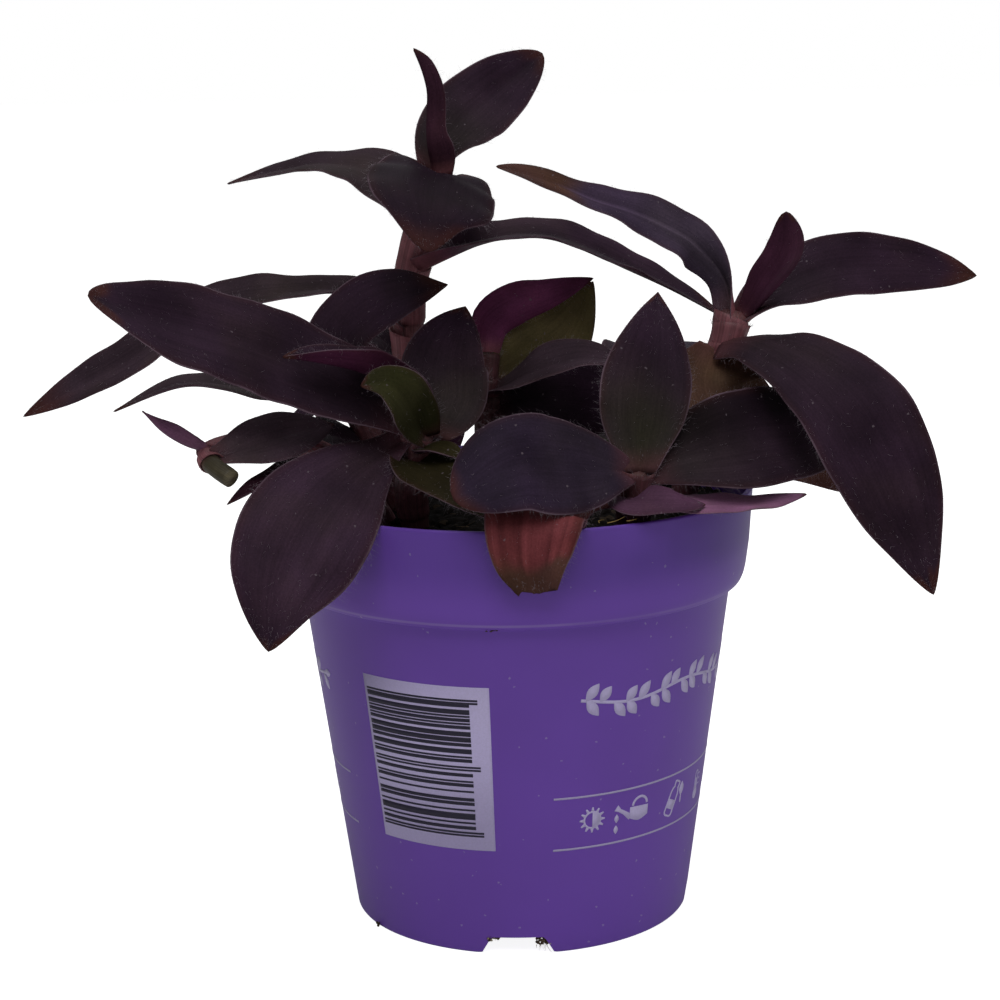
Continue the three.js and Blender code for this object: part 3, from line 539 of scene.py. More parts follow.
                width=11, faces=[(0, -1, 0.3), (0, -0.6, 1)], fold=(60, 25), widest=0.45, tone="young",
            ),
            dict(
                line=[(24, 32, 102), (35, 45, 104), (47, 56, 98), (57, 64, 84)],
                width=17, faces=[(-0.2, -0.2, 1), (0.5, 0.6, 0.6)], fold=(55, 8), widest=0.45,
                tone="deep",
            ),
            dict(
                line=[(24, 31, 103), (36, 26, 109), (47, 20, 106), (56, 16, 98)],
                width=14, faces=[(-0.3, 0, 1), (0.3, 0, 1)], fold=(55, 12), widest=0.45,
                tone="deep", green=0.3,
            ),
        ],
    ),
    "back_shoot": dict(
        stem=[(6, 38, 91), (7, 42, 99), (8, 45, 108)],
        radii=(2.6, 2.8, 2.4), painted_dim=0.6,
        leaves=[
            dict(
                line=[(8, 44, 105), (8, 58, 111), (6, 72, 106), (4, 84, 92)],
                width=23, faces=[(0, -0.4, 1), (0, 0.9, 0.5)], fold=(55, 8), widest=0.45,
                tone="bloom", tip=0.08,
            ),
            dict(
                line=[(8, 45, 106), (6, 49, 115), (2, 53, 121), (-3, 57, 122)],
                width=12, faces=[(0.3, -1, 0.3), (0, -0.7, 1)], fold=(60, 25), widest=0.45, tone="young",
            ),
            dict(
                line=[(7, 43, 99), (17, 54, 103), (25, 62, 99), (31, 69, 89)],
                width=13, faces=[(-0.2, -0.2, 1), (0.3, 0.6, 0.6)], fold=(55, 10), widest=0.45, tone="deep",
            ),
        ],
    ),
    "young_shoot": dict(
        stem=[(10, 20, 91), (11, 21, 101)],
        radii=(2, 1.8), painted_dim=0.6,
        leaves=[
            dict(
                line=[(11, 21, 98), (19, 20, 102), (28, 17, 101), (35, 13, 95)],
                width=12, faces=[(-0.3, 0, 1), (0.2, 0, 1)], fold=(55, 12), widest=0.45,
                tone="deep", green=0.3,
            ),
            dict(
                line=[(10, 21, 96), (1, 26, 100), (-8, 29, 99), (-15, 30, 94)],
                width=12, faces=[(0.3, 0, 1), (-0.2, 0, 1)], fold=(55, 12), widest=0.45, tone="olive",
            ),
            dict(
                line=[(11, 20, 98), (14, 10, 103), (18, 0, 102), (21, -9, 97)],
                width=11, faces=[(0, 0.3, 1), (0, -0.3, 1)], fold=(55, 12), widest=0.45, tone="fresh",
            ),
            dict(
                line=[(11, 22, 98), (14, 31, 104), (16, 39, 103), (18, 46, 98)],
                width=9, faces=[(0, -0.3, 1), (0, 0.3, 1)], fold=(55, 12), widest=0.45, tone="young",
            ),
        ],
    ),
}


# Shapes worked out as whole arrays

def smooth(value, low, high):
    """The smooth step 3s^2 - 2s^3 of s, which is value's share of the way from low to high."""
    share = np.clip((value - low) / (high - low), 0, 1)
    return share * share * (3 - 2 * share)


def unit(vectors):
    """Each vector divided by its length."""
    return vectors / np.maximum(np.linalg.norm(vectors, axis=-1, keepdims=True), 1e-9)


def rolling(rng, size, waves=14):
    """A smooth rolling field: the mean of sines of (k . p + phase), with wave vectors k about 1/size long."""
    ways = unit(rng.normal(size=(waves, 3))) / size * rng.uniform(0.5, 1.6, (waves, 1)) * 2 * math.pi
    phases = rng.uniform(0, 2 * math.pi, waves)
    return lambda points: np.sin(points @ ways.T + phases).mean(-1) * math.sqrt(waves / 3)


def cubic(values, span, w):
    """The smooth curve through evenly spaced values, at the share w of a span:
    p1 + w((p2 - p0) + w((2p0 - 5p1 + 4p2 - p3) + w(3p1 - p0 - 3p2 + p3))) / 2."""
    p0, p1, p2, p3 = (values[span + k] for k in range(4))
    square, cube = 2 * p0 - 5 * p1 + 4 * p2 - p3, 3 * p1 - p0 - 3 * p2 + p3
    return p1 + w * ((p2 - p0) + w * (square + w * cube)) / 2


def curve(line, places):
    """Points and directions at shares of the length of a smooth curve through the line's points.

    Each span is a cubic, and past each end the line is carried on by its first or last step.
    """
    line = np.array(line, float)
    line = np.vstack([2 * line[0] - line[1], line, 2 * line[-1] - line[-2]])
    spans = len(line) - 3
    t = np.linspace(0, spans, DENSE * spans + 1)
    i = np.minimum(t.astype(int), spans - 1)
    w = (t - i)[:, None]
    dense = cubic(line, i, w)
    lengths = np.concatenate([[0], np.cumsum(np.linalg.norm(np.diff(dense, axis=0), axis=1))])
    way = np.gradient(dense, axis=0)
    wanted = np.asarray(places) * lengths[-1]
    points = np.stack([np.interp(wanted, lengths, dense[:, k]) for k in range(3)], -1)
    ways = unit(np.stack([np.interp(wanted, lengths, way[:, k]) for k in range(3)], -1))
    return points, ways, lengths[-1]


def skin(rings, start=None, end=None, wrap=False):
    """Points and faces of a surface over a grid of rings [row, place round the ring].

    Each ring is joined to the next one. An end is closed by a fan to its point, or by one flat face, or the
    last ring is joined to the first. Faces look outwards where rings turn right-handed about the row way.
    """
    rows, around = rings.shape[:2]
    index = np.arange(rows * around).reshape(rows, around)
    low, high = (index, np.roll(index, -1, 0)) if wrap else (index[:-1], index[1:])
    quads = np.stack([low, np.roll(low, -1, 1), np.roll(high, -1, 1), high], -1).reshape(-1, 4)
    faces = quads.tolist()
    points = [rings.reshape(-1, 3)]
    count = rows * around
    if wrap:
        return points[0], faces
    if start is None:
        faces.append(index[0, ::-1].tolist())
    else:
        points.append(np.array([start], float))
        fan = np.stack([np.full(around, count), np.roll(index[0], -1), index[0]], -1)
        faces += fan.tolist()
        count += 1
    if end is None:
        faces.append(index[-1].tolist())
    else:
        points.append(np.array([end], float))
        fan = np.stack([index[-1], np.roll(index[-1], -1), np.full(around, count)], -1)
        faces += fan.tolist()
    return np.vstack(points), faces


class Shell:
    """Surfaces gathered before they become one mesh, with the colour and the map place of each point."""

    def __init__(self):
        """Starts with nothing in it."""
        self.points, self.faces, self.tones, self.places, self.slots, self.count = [], [], [], [], [], 0

    def add(self, points, faces, tone=(0.5, 0.5, 0.5), place=(0.5, 0.5), slot=0):
        """Adds a surface, with one tone and place for all of it or one for each point."""
        self.points.append(points)
        self.tones.append(np.broadcast_to(tone, (len(points), 3)))
        self.places.append(np.broadcast_to(place, (len(points), 2)))
        self.faces += [[i + self.count for i in face] for face in faces]
        self.slots += [slot] * len(faces)
        self.count += len(points)

    def mesh(self, name, materials):
        """The object, in metres, with point colours named tone, a map named place, and smooth faces."""
        mesh = bpy.data.meshes.new(name)
        mesh.from_pydata(np.vstack(self.points) * MM, [], self.faces)
        colours = np.ones((self.count, 4), np.float32)
        colours[:, :3] = np.vstack(self.tones)
        mesh.attributes.new("tone", "FLOAT_COLOR", "POINT").data.foreach_set("color", colours.ravel())
        corners = np.zeros(len(mesh.loops), np.int32)
        mesh.loops.foreach_get("vertex_index", corners)
        places = np.vstack(self.places)[corners].astype(np.float32)
        mesh.uv_layers.new(name="place").data.foreach_set("uv", places.ravel())
        mesh.polygons.foreach_set("material_index", np.array(self.slots, np.int32))
        mesh.polygons.foreach_set("use_smooth", np.ones(len(mesh.polygons), bool))
        for material in materials:
            mesh.materials.append(material)
        mesh.validate()
        mesh.update()
        piece = bpy.data.objects.new(name, mesh)
        bpy.context.scene.collection.objects.link(piece)
        return piece


def settle(piece, slot, *nodes):
    """The piece rides on the one body and stands for the nodes. The slot is not used."""
    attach(piece, ROOT)
    if nodes:
        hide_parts(*nodes)
    return piece


def fibres(starts, ways, bends, lengths, radii, rows=3, sides=3):
    """Thin tapering fibres, all at once: the line is start + length (s way + s^2 bend), for s from 0 to 1.

    The radius falls from its full size to a fifth of it. Returns points and faces of all of them.
    """
    s = np.linspace(0, 1, rows)[None, :, None]
    lengths, radii = np.asarray(lengths)[:, None, None], np.asarray(radii)[:, None, None, None]
    centres = starts[:, None] + lengths * (s * ways[:, None] + s * s * bends[:, None])
    along = unit(ways[:, None] + 2 * s * bends[:, None])
    across = unit(np.cross(along, np.array([0.31, 0.83, 0.47])))
    other = np.cross(along, across)
    turn = np.linspace(0, 2 * math.pi, sides, endpoint=False)[None, None, :, None]
    taper = (1 - 0.8 * s)[..., None]
    rings = centres[:, :, None] + radii * taper * (
        np.cos(turn) * across[:, :, None] + np.sin(turn) * other[:, :, None]
    )
    count = len(starts)
    index = np.arange(count * rows * sides).reshape(count, rows, sides)
    low, high = index[:, :-1], index[:, 1:]
    quads = np.stack([low, np.roll(low, -1, 2), np.roll(high, -1, 2), high], -1).reshape(-1, 4)
    ends = np.concatenate([index[:, 0, ::-1], index[:, -1]])
    return rings.reshape(-1, 3), quads.tolist() + ends.tolist()


# Leaves and stems

def width_share(place, widest, base, taper):
    """The share of the full width: base + (1 - base) sin(90 p / widest)^1.5 up to the widest place, and from
    there cos(90 x^first)^second to the tip, in degrees, with x the share of the way left."""
    rise = base + (1 - base) * np.sin(np.pi / 2 * np.clip(place / widest, 0, 1)) ** 1.5
    rest = np.clip((place - widest) / (1 - widest), 0, 1)
    fall = np.maximum(np.cos(np.pi / 2 * rest ** taper[0]), 0) ** taper[1]
    return np.where(place < widest, rise, fall)


def spread(widths, blunt, place):
    """Full widths at places along a leaf, from those at even places: the smooth curve through the widths
    raised to the power blunt, and then its root of the same power, so that a high power rounds the tip."""
    powers = np.concatenate([[0], np.array(widths, float) ** blunt, [0]])
    powers[0], powers[-1] = 2 * powers[1] - powers[2], 2 * powers[-2] - powers[-3]
    t = place * (len(widths) - 1)
    i = np.minimum(t.astype(int), len(widths) - 2)
    w = t - i
    curved = cubic(powers, i, w)
    return np.maximum(curved, 0) ** (1 / blunt)


def ruffles(across, run, rng):
    """Heights of a leaf's low waves: sines along it that grow with the square and with the cube of the share
    across, each started apart on the two halves, and a long one that slants over both."""
    starts = [rng.uniform(0, 2 * math.pi, 2) for _ in range(3)]
    hand = np.sign(across)[None]
    (wide, wide_run), (fine, fine_run), (slow, slow_run) = WAVES
    made = wide * np.abs(across) ** 2 * np.sin(run / wide_run + starts[0][0] + hand * starts[0][1])
    made += fine * np.abs(across) ** 3 * np.sin(run / fine_run + starts[1][0] - hand * starts[1][1])
    made += slow * np.sin(run / slow_run + starts[2][0] + 1.4 * across[None] + starts[2][1])
    return made


def leaf_surface(leaf, rng):
    """The middle surface of a leaf as a grid [row, column], with its shares across, its places along, its
    length and its half widths.

    Half columns stand at (fold - curl a) tanh(a / crease) degrees to the way across, for a from 0 at the
    midrib to 1 at the edge, and their steps add up to the half's cross-section. The full width comes from
    the widths or the width share; lop makes one half wider and the other narrower. Low waves ruffle it.
    """
    grow = curve(leaf["line"], [1])[2]
    rows = int(np.clip(grow / ROW_STEP, FEWEST_ROWS, MOST_ROWS))
    place = 1 - (1 - np.linspace(0, 1, rows + 1)) ** 1.2
    torn = leaf.get("torn", 0)
    centre, along, length = curve(leaf["line"], place)
    first, last = (unit(np.array(face, float)) for face in leaf["faces"])
    face = first + (last - first) * place[:, None]
    up = unit(face - (face * along).sum(1, keepdims=True) * along)
    side = np.cross(along, up)
    if "widths" in leaf:
        half = spread(leaf["widths"], leaf.get("blunt", 1.25), place) / 2
    else:
        taper = leaf.get("taper", (1.25, 1))
        half = leaf["width"] / 2 * width_share(place, leaf.get("widest", 0.42), leaf.get("base", 0.22), taper)
    eased = np.clip(1 - place / leaf.get("reach", 0.3), 0, 1) ** 1.5
    stand = np.radians(leaf["fold"][1] + (leaf["fold"][0] - leaf["fold"][1]) * eased)
    a = np.sin(np.pi / 2 * np.linspace(0, 1, HALF_COLUMNS + 1))
    lean = (stand[:, None] - math.radians(leaf.get("curl", 0)) * a) * np.tanh(a / CREASE)
    steps = np.diff(a) * half[:, None]
    middle = (lean[:, 1:] + lean[:, :-1]) / 2
    out = np.pad(np.cumsum(steps * np.cos(middle), 1), ((0, 0), (1, 0)))
    rise = np.pad(np.cumsum(steps * np.sin(middle), 1), ((0, 0), (1, 0)))
    lop = leaf.get("lop", 0)
    out = np.hstack([-out[:, :0:-1] * (1 + lop), out * (1 - lop)])
    rise = np.hstack([rise[:, :0:-1] * (1 + lop), rise * (1 - lop)])
    across = np.concatenate([-a[:0:-1], a])
    surface = centre[:, None] + out[..., None] * side[:, None] + rise[..., None] * up[:, None]
    swell = np.sin(np.pi * np.clip(place, 0, 1)) ** 0.6 * half / half.max()
    ruffle = ruffles(across, place[:, None] * length, rng)
    ruffle *= leaf.get("ruffle", 1) * swell[:, None]
    surface = surface + ruffle[..., None] * up[:, None]
    if torn:
        bite = np.interp(across, np.linspace(-1, 1, TEETH), rng.uniform(0, 1, TEETH))
        shift = (torn * bite)[None] * (place ** 4)[:, None] * length
        surface = surface - shift[..., None] * along[:, None]
    return surface, across, place, length, half


def leaf_tones(leaf, place, across, rng, looks):
    """Upper and lower colours [row, column] of a leaf: its own tone, times its light, which is painted light
    and shade, partly its own tone, and may change from base to tip, greener at the base and rib, redder or dry
    at the tip, with a drift, streaks along it or one half darkened as painted shade."""
    tones = {name: np.array(getattr(looks, name + "_colour")) for name in TONES}
    a = np.abs(across)[None]
    p = place[:, None]
    drift = rolling(rng, 1.1)(np.stack(np.broadcast_arrays(p * 3, across[None] * 1.2, 0 * p * a), -1))
    # light: painted light and shade for this leaf, partly its own tone, and it may change from base to tip.
    first, last = np.broadcast_to(leaf.get("light", 1), 2)
    light = (first + (last - first) * smooth(p, 0.1, 0.5))[..., None]
    upper = light * tones[leaf["tone"]] * (1 + 0.16 * drift[..., None])
    green = leaf.get("green", 0.12) * (1 - smooth(p, 0.05, 0.75)) * (1 - 0.35 * a)
    upper = upper + (tones["green"] - upper) * np.clip(green, 0, 1)[..., None]
    lower = tones[leaf.get("lower", "under")]
    lower = lower + (tones["magenta"] - lower) * leaf.get("plum", 0.35)
    lower = light * lower * (1 + 0.2 * drift[..., None]) * (1 - 0.3 * smooth(p, 0.6, 1))[..., None]
    if "streaks" in leaf:
        lines = rolling(rng, 1)(np.stack(np.broadcast_arrays(p * 0.9, across[None] * 6, 0 * p * a), -1))
        upper, lower = (tone * (1 + leaf["streaks"] * lines[..., None]) for tone in (upper, lower))
    if "shade" in leaf:
        # Painted shade: one half of the leaf darkened where leaves above shade it.
        dark = abs(leaf["shade"]) * smooth(np.sign(leaf["shade"]) * across[None], -0.25, 0.6)
        upper = upper * (1 - dark[..., None])
    base = (1 - smooth(p, 0.0, 0.16))[..., None] * 0.75
    upper = upper + (tones["sheath"] * 0.45 - upper) * base * 0.6
    lower = lower + (tones["sheath"] - lower) * base
    if leaf.get("rib"):
        upper = upper * (1 + 0.9 * np.exp(-((a / 0.07) ** 2)) * smooth(p, 0.0, 0.1))[..., None]
    ragged = 0.03 * drift + 0.05 * a
    red = smooth(p + ragged, 1 - 1.6 * leaf.get("tip", 0.03), 1)[..., None] * 0.9
    dead = leaf.get("dry", 0)
    dry = smooth(p + ragged, 0.97 - 1.1 * dead, 1.02 - 0.8 * dead)[..., None] * (dead > 0)
    hem = (smooth(a, 0.8, 0.98) * 0.22 * np.ones_like(p))[..., None]
    for_both = []
    for tone in (upper, lower):
        tone = tone + (tones["red"] - tone) * np.maximum(red, hem)
        tone = tone + (tones["dry"] * (1 + 0.3 * drift[..., None]) - tone) * dry
        for_both.append(np.clip(tone, 0.001, 1))
    return for_both


def leaf_shell(shell, leaf, thickness, rng, looks):
    """Adds a leaf to the shell as one closed skin, and returns the grid that its hairs stand on.

    Each point lies half the thickness from the middle surface along its normal. The thickness falls with
    sqrt(1 - a^6) to a thin rounded edge, and to half at the tip.
    """
    surface, across, place, length, half = leaf_surface(leaf, rng)
    normal = unit(np.cross(np.gradient(surface, axis=1), np.gradient(surface, axis=0)))
    a = np.abs(across)[None]
    thick = thickness / 2 * (1 - 0.3 * a * a) * np.sqrt(1 - a ** 6)
    thick = thick * (1 - 0.5 * smooth(place, 0.7, 1))[:, None]
    groove = GROOVE_DEPTH * np.exp(-((a / GROOVE_WIDTH) ** 2)) * (1 - 0.7 * place)[:, None]
    upper = surface + normal * (thick - groove)[..., None]
    lower = surface - normal * (thick + 0.6 * groove)[..., None]
    above, below = leaf_tones(leaf, place, across, rng, looks)
    last = -1 if not leaf.get("torn") else len(place)
    rings = np.concatenate([upper[:last], lower[:last, -2:0:-1]], 1)
    tone = np.concatenate([above[:last], below[:last, -2:0:-1]], 1).reshape(-1, 3)
    spots = np.concatenate([across, across[-2:0:-1]])[None] / 2 + 0.5
    spots = np.stack(np.broadcast_arrays(spots, place[:last, None]), -1).reshape(-1, 2)
    end = None
    if not leaf.get("torn"):
        end = surface[-1, HALF_COLUMNS]
        tone = np.vstack([tone, above[-1, HALF_COLUMNS]])
        spots = np.vstack([spots, [0.5, 1.0]])
    points, faces = skin(rings, end=end)
    shell.add(points, faces, tone, spots, 0)
    return surface, normal, place, length, half


def tube_rings(line, radii, sides=STEM_SIDES, step=STEM_STEP):
    """Rings round a curve: centre + r (cos(turn) first + sin(turn) second), r going through the radii."""
    length = curve(line, [1])[2]
    share = np.linspace(0, 1, max(int(length / step), 4) + 1)
    centre, along, _ = curve(line, share)
    first = unit(np.cross(along, np.array([0.25, 1.0, 0.1])))
    second = np.cross(along, first)
    radius = np.interp(share, np.linspace(0, 1, len(radii)), radii)
    turn = np.linspace(0, 2 * math.pi, sides, endpoint=False)
    spoke = np.cos(turn)[None, :, None] * first[:, None] + np.sin(turn)[None, :, None] * second[:, None]
    return centre, along, spoke, radius, share, length


def stem_shell(shell, shoot, looks):
    """Adds a shoot's stem, swollen a little at each leaf, greener upwards and olive at a cut end. Returns
    its rings, each leaf's row and what else the sheaths are set on."""
    x, y, z = shoot["stem"][0]
    line = [(x, y, z - ROOT_DEPTH)] + list(shoot["stem"])
    centre, along, spoke, radius, share, length = tube_rings(line, [shoot["radii"][0], *shoot["radii"]])
    places = []
    for leaf in shoot["leaves"]:
        places.append(np.linalg.norm(centre - np.array(leaf["line"][0], float), axis=1).argmin())
    for row in places:
        radius = radius + 0.1 * np.exp(-(((share - share[row]) * length / 1.3) ** 2))
    cut = shoot.get("cut", 0)
    end = 1 - smooth(share, 1 - 1.2 / length, 1) * (0.05 if cut else 0.45)
    ribs = 1 + 0.012 * np.cos(np.arange(STEM_SIDES) * 2 * math.pi * 4 / STEM_SIDES)
    rings = centre[:, None] + spoke * (STEM_SHARE * radius * end)[:, None, None] * ribs[None, :, None]
    # Painted shade: the shoot's painted_dim darkens its stem where the leaves above shade it.
    tone = STEM_SHADE * shoot.get("painted_dim", 1) * np.array(looks.sheath_colour)
    tone = tone * (0.9 + 0.1 * np.cos(share * length / 4))[:, None, None]
    green = np.array(looks.green_colour)
    tone = tone + (green - tone) * 0.25 * smooth(share, 0.2, 1)[:, None, None]
    if cut:
        pruned = smooth(share, 1 - cut / length, 1 - 0.7 * cut / length)[:, None, None]
        tone = tone + (CUT_TONE - tone) * pruned
        tone = tone * (1 + 0.9 * (share > 0.999))[:, None, None]
    tone = np.broadcast_to(tone, rings.shape).reshape(-1, 3)
    around = np.abs(np.linspace(-1, 1, STEM_SIDES, endpoint=False))
    spots = np.stack(np.broadcast_arrays(around[None], share[:, None] * length / 15), -1).reshape(-1, 2)
    points, faces = skin(rings)
    shell.add(points, faces, tone, spots, 1)
    return centre, along, spoke, radius, share * length, places


def sheath_shell(shell, stem, row, leaf, order, painted_dim, looks):
    """Adds the sheath under a leaf: a thin cuff round the stem whose mouth is higher and opens on the
    leaf's side. Its radius grows with q^3 lift^1.5, with q the share of the way up and lift from 0 behind
    to 1 under the leaf. Returns its wall's points, with the ways outward and along the stem."""
    centre, along, spoke, radius, run = stem
    step = run[1] - run[0]
    low = max(row - int(SHEATH_LENGTH / step), 1)
    rows = max(row - low, 3)
    q = np.linspace(0, 1, rows + 1)
    index = np.clip(low + np.arange(rows + 1), 0, len(centre) - 1)
    way = unit(np.array(leaf["line"][1], float) - np.array(leaf["line"][0], float))
    facing = spoke[index[-1]] @ way
    lift = (facing - facing.min()) / max(np.ptp(facing), 1e-6)
    outer = radius[index][:, None] + SHEATH_LIFT + SHEATH_STACK * order
    outer = outer + SHEATH_FLARE * q[:, None] ** 3 * lift[None] ** 1.5
    outer[0] -= SHEATH_LIFT + SHEATH_STACK * order
    rise = (q ** 3)[:, None] * (1.6 * lift - 1.1)[None]
    place = centre[index][:, None] + spoke[index] * outer[..., None] + along[index][:, None] * rise[..., None]
    inner = centre[index][:, None] + spoke[index] * (outer - SHEATH_WALL)[..., None]
    inner = inner + along[index][:, None] * (rise - 0.15)[..., None]
    lip = (place[-1:] + inner[-1:]) / 2 + along[index[-1]] * 0.12
    rings = np.concatenate([place, lip, inner[::-1]])
    share = np.concatenate([q, [1.0], q[::-1]])
    # Painted shade: the sheath is darkened by the shoot's painted_dim.
    tone = painted_dim * np.array(looks.sheath_colour) * (0.85 + 0.25 * share)[:, None, None]
    tip = painted_dim * np.array(looks.dry_colour)
    tone = tone + (tip - tone) * 0.3 * smooth(share, 0.93, 1)[:, None, None]
    tone = np.broadcast_to(tone, rings.shape).reshape(-1, 3)
    around = np.abs(np.linspace(-1, 1, STEM_SIDES, endpoint=False))
    spots = np.stack(np.broadcast_arrays(around[None], share[:, None] * 0.4), -1).reshape(-1, 2)
    points, faces = skin(rings, wrap=True)
    shell.add(points, faces, tone, spots, 1)
    return place, spoke[index], along[index]


def leaf_hairs(grid, leaf, rng, looks):
    """Starts, ways, bends, lengths and radii of a leaf's hairs, along its edges and thinly on its faces."""
    surface, normal, place, length, half = grid
    rows, columns = surface.shape[:2]
    thick = leaf.get("hair", 1)
    along = unit(np.gradient(surface, axis=0))
    outward = unit(np.gradient(surface, axis=1))
    edge = 2 * int(length * EDGE_HAIRS / 2 * thick)
    i = rng.integers(1, rows - 2, edge)
    j = np.where(rng.random(edge) < 0.5, 0, columns - 1)
    hand = np.where(j == 0, -1.0, 1.0)[:, None]
    way = hand * outward[i, j] + 0.42 * rng.normal(size=(edge, 3)) + 0.4 * along[i, j]
    start = surface[i, j] + (rng.random((edge, 1)) - 0.5) * along[i, j]
    size = rng.uniform(*EDGE_HAIR_LENGTHS, edge) * (1 + 0.8 * (1 - place[i]))
    face = int(length * half.max() * FACE_HAIRS * thick)
    k, m = rng.integers(1, rows - 2, face), rng.integers(1, columns - 1, face)
    over = np.where(rng.random(face) < UPPER_SHARE, 1.0, -1.0)[:, None]
    lie = over * normal[k, m] * 0.22 + 0.6 * along[k, m] + 0.4 * rng.normal(size=(face, 3))
    foot = surface[k, m] + over * normal[k, m] * looks.thickness / MM * 0.36
    lengths = np.concatenate([size, rng.uniform(*FACE_HAIR_LENGTHS, face)])
    ways = unit(np.vstack([way, lie]))
    bends = 0.22 * rng.normal(size=ways.shape) + np.array([0, 0, -0.1])
    return np.vstack([start, foot]), ways, bends, lengths, rng.uniform(*LEAF_HAIR_RADII, len(lengths))


def sheath_hairs(place, spoke, along, rng):
    """Hairs round a sheath's mouth, long and standing up, and shorter ones down its wall."""
    rows, sides = place.shape[:2]
    i = np.concatenate([np.full(MOUTH_HAIRS, rows - 1), rng.integers(0, rows - 1, WALL_HAIRS)])
    j = rng.integers(0, sides, len(i))
    way = spoke[i, j] + (np.where(i == rows - 1, 1.1, 0.3))[:, None] * along[i]
    way = unit(way + 0.35 * rng.normal(size=way.shape))
    long, short = rng.uniform(*MOUTH_HAIR_LENGTHS, len(i)), rng.uniform(*WALL_HAIR_LENGTHS, len(i))
    lengths = np.where(i == rows - 1, long, short)
    bends = 0.2 * rng.normal(size=way.shape)
    return place[i, j], way, bends, lengths, rng.uniform(*SHEATH_HAIR_RADII, len(i))


# The pot, its printing and the soil

def rounded(profile, radius, steps=CORNER_STEPS):
    """The profile with each inner corner P replaced by the arc (1-t)^2 A + 2t(1-t) P + t^2 B between points
    A and B on its two sides."""
    profile = np.array(profile, float)
    made = [profile[:1]]
    t = np.linspace(0, 1, steps)[:, None]
    for before, corner, after in zip(profile, profile[1:], profile[2:]):
        back, on = before - corner, after - corner
        a, b = (v / np.linalg.norm(v) * min(radius, 0.45 * np.linalg.norm(v)) for v in (back, on))
        made.append((1 - t) ** 2 * (corner + a) + 2 * t * (1 - t) * corner + t ** 2 * (corner + b))
    made.append(profile[-1:])
    return np.vstack(made)


def lathe(profile, sides, start=None, end=None):
    """The (radius, height) profile turned about the upright axis: (r cos(turn), r sin(turn), height)."""
    turn = np.linspace(0, 2 * math.pi, sides, endpoint=False)
    radius, height = profile[:, :1], profile[:, 1:]
    rings = np.stack(np.broadcast_arrays(radius * np.cos(turn), radius * np.sin(turn), height), -1)
    return skin(rings, start, end)


def wall_radius(height):
    """The pot's inside radius at a height, straight between the corners of its wall."""
    heights = [0, WALL_STEP_BOTTOM, WALL_STEP_TOP, COLLAR_MIDDLE, SOIL_EDGE]
    cone, collar = body_radius(WALL_STEP_BOTTOM) - WALL, COLLAR_MIDDLE_RADIUS - WALL
    return np.interp(height, heights, [FOOT_RADIUS - WALL, cone, WALL_STEP_RADIUS, collar, collar])


def body_radius(height):
    """The outside radius of the pot's plain cone at a height."""
    return FOOT_RADIUS + (BODY_TOP_RADIUS - FOOT_RADIUS) * height / BODY_TOP


def on_wall(points, angle, lift):
    """Flat (sideways, height) points laid on the cone round an angle: the turn grows by sideways / radius,
    with the cone's radius at the points' mean height."""
    radius = body_radius(points[..., 1]) + lift
    turn = math.radians(angle) + points[..., 0] / body_radius(points[..., 1].mean())
    return np.stack([radius * np.sin(turn), -radius * np.cos(turn), points[..., 1]], -1)


def bow(first, last, height, count):
    """Sideways distances from the front at which a cone of that mean height turns from first to last."""
    return np.radians(np.linspace(first, last, count)) * body_radius(height)


def printed(shell, lower, upper, angle, lift, tone):
    """Adds a thin closed patch of ink between a lower and an upper edge, laid on the pot's wall."""
    edges = np.stack([lower, upper], 1)
    top, under = on_wall(edges, angle, lift), on_wall(edges, angle, -INK)
    rings = np.concatenate([top, under[:, ::-1]], 1)
    points, faces = skin(rings)
    shell.add(points, faces, tone)


def stroke(path, widths):
    """The two edges of a flat stroke: path - n w/2 and path + n w/2, with n across its way."""
    path = np.array(path, float)
    way = unit(np.gradient(path, axis=0))
    out = np.stack([-way[:, 1], way[:, 0]], -1) * np.broadcast_to(widths, len(path))[:, None] / 2
    return path - out, path + out


def line_between(start, end, count=12):
    """Evenly spaced points on a straight line."""
    return np.linspace(start, end, count)


def arc(centre, radius, first, last, count=28):
    """Points centre + r (cos(turn), sin(turn)) from one angle to another."""
    turn = np.radians(np.linspace(first, last, count))
    return np.array(centre) + radius * np.stack([np.cos(turn), np.sin(turn)], -1)


def lens(start, end, width, count=9):
    """The edges of a pointed leaf or drop: a straight stroke whose width is w sin(180 s)."""
    return stroke(line_between(start, end, count), width * np.sin(np.pi * np.linspace(0.02, 0.98, count)))


def band(shell, span, low, high, lift, tone):
    """Adds a printed strip between two heights over a span of angles, in short steps round the cone."""
    count = max(int((span[1] - span[0]) * 0.9), 2)
    sideways = bow(*span, (low + high) / 2, count)
    lower = np.stack([sideways, np.full(count, low)], -1)
    upper = np.stack([sideways, np.full(count, high)], -1)
    printed(shell, lower, upper, 0, lift, tone)


def label(shell, rng, ink, bar):
    """The pale panel and its stack of bars, whose widths are drawn at random and say nothing."""
    band(shell, LABEL_SPAN, *LABEL_HEIGHTS, PANEL_LIFT, ink)
    module = (BARS_HEIGHTS[1] - BARS_HEIGHTS[0]) / BAR_MODULES
    half = (BAR_MODULES - 2 * GUARD_MODULES - MIDDLE_MODULES) // 2
    at = 0
    bars = []
    for part in ("guard", "half", "middle", "half", "guard"):
        if part == "half":
            runs = []
            while sum(runs) < half:
                runs.append(int(min(1 + rng.binomial(3, 0.26 + 0.1 * (len(runs) % 2)), half - sum(runs))))
        else:
            runs = [1] * (GUARD_MODULES if part == "guard" else MIDDLE_MODULES)
        dark = part == "guard"
        for run in runs:
            if dark:
                bars.append((at, run, part != "half"))
            at += run
            dark = not dark
    for at, run, long in bars:
        ends = (at - BAR_SPREAD, at + run + BAR_SPREAD)
        low, high = (BARS_HEIGHTS[0] + module * place for place in ends)
        end = LONG_BARS_END if long else BARS_SPAN[1]
        band(shell, (BARS_SPAN[0], end), low, high, 2 * PANEL_LIFT, bar)


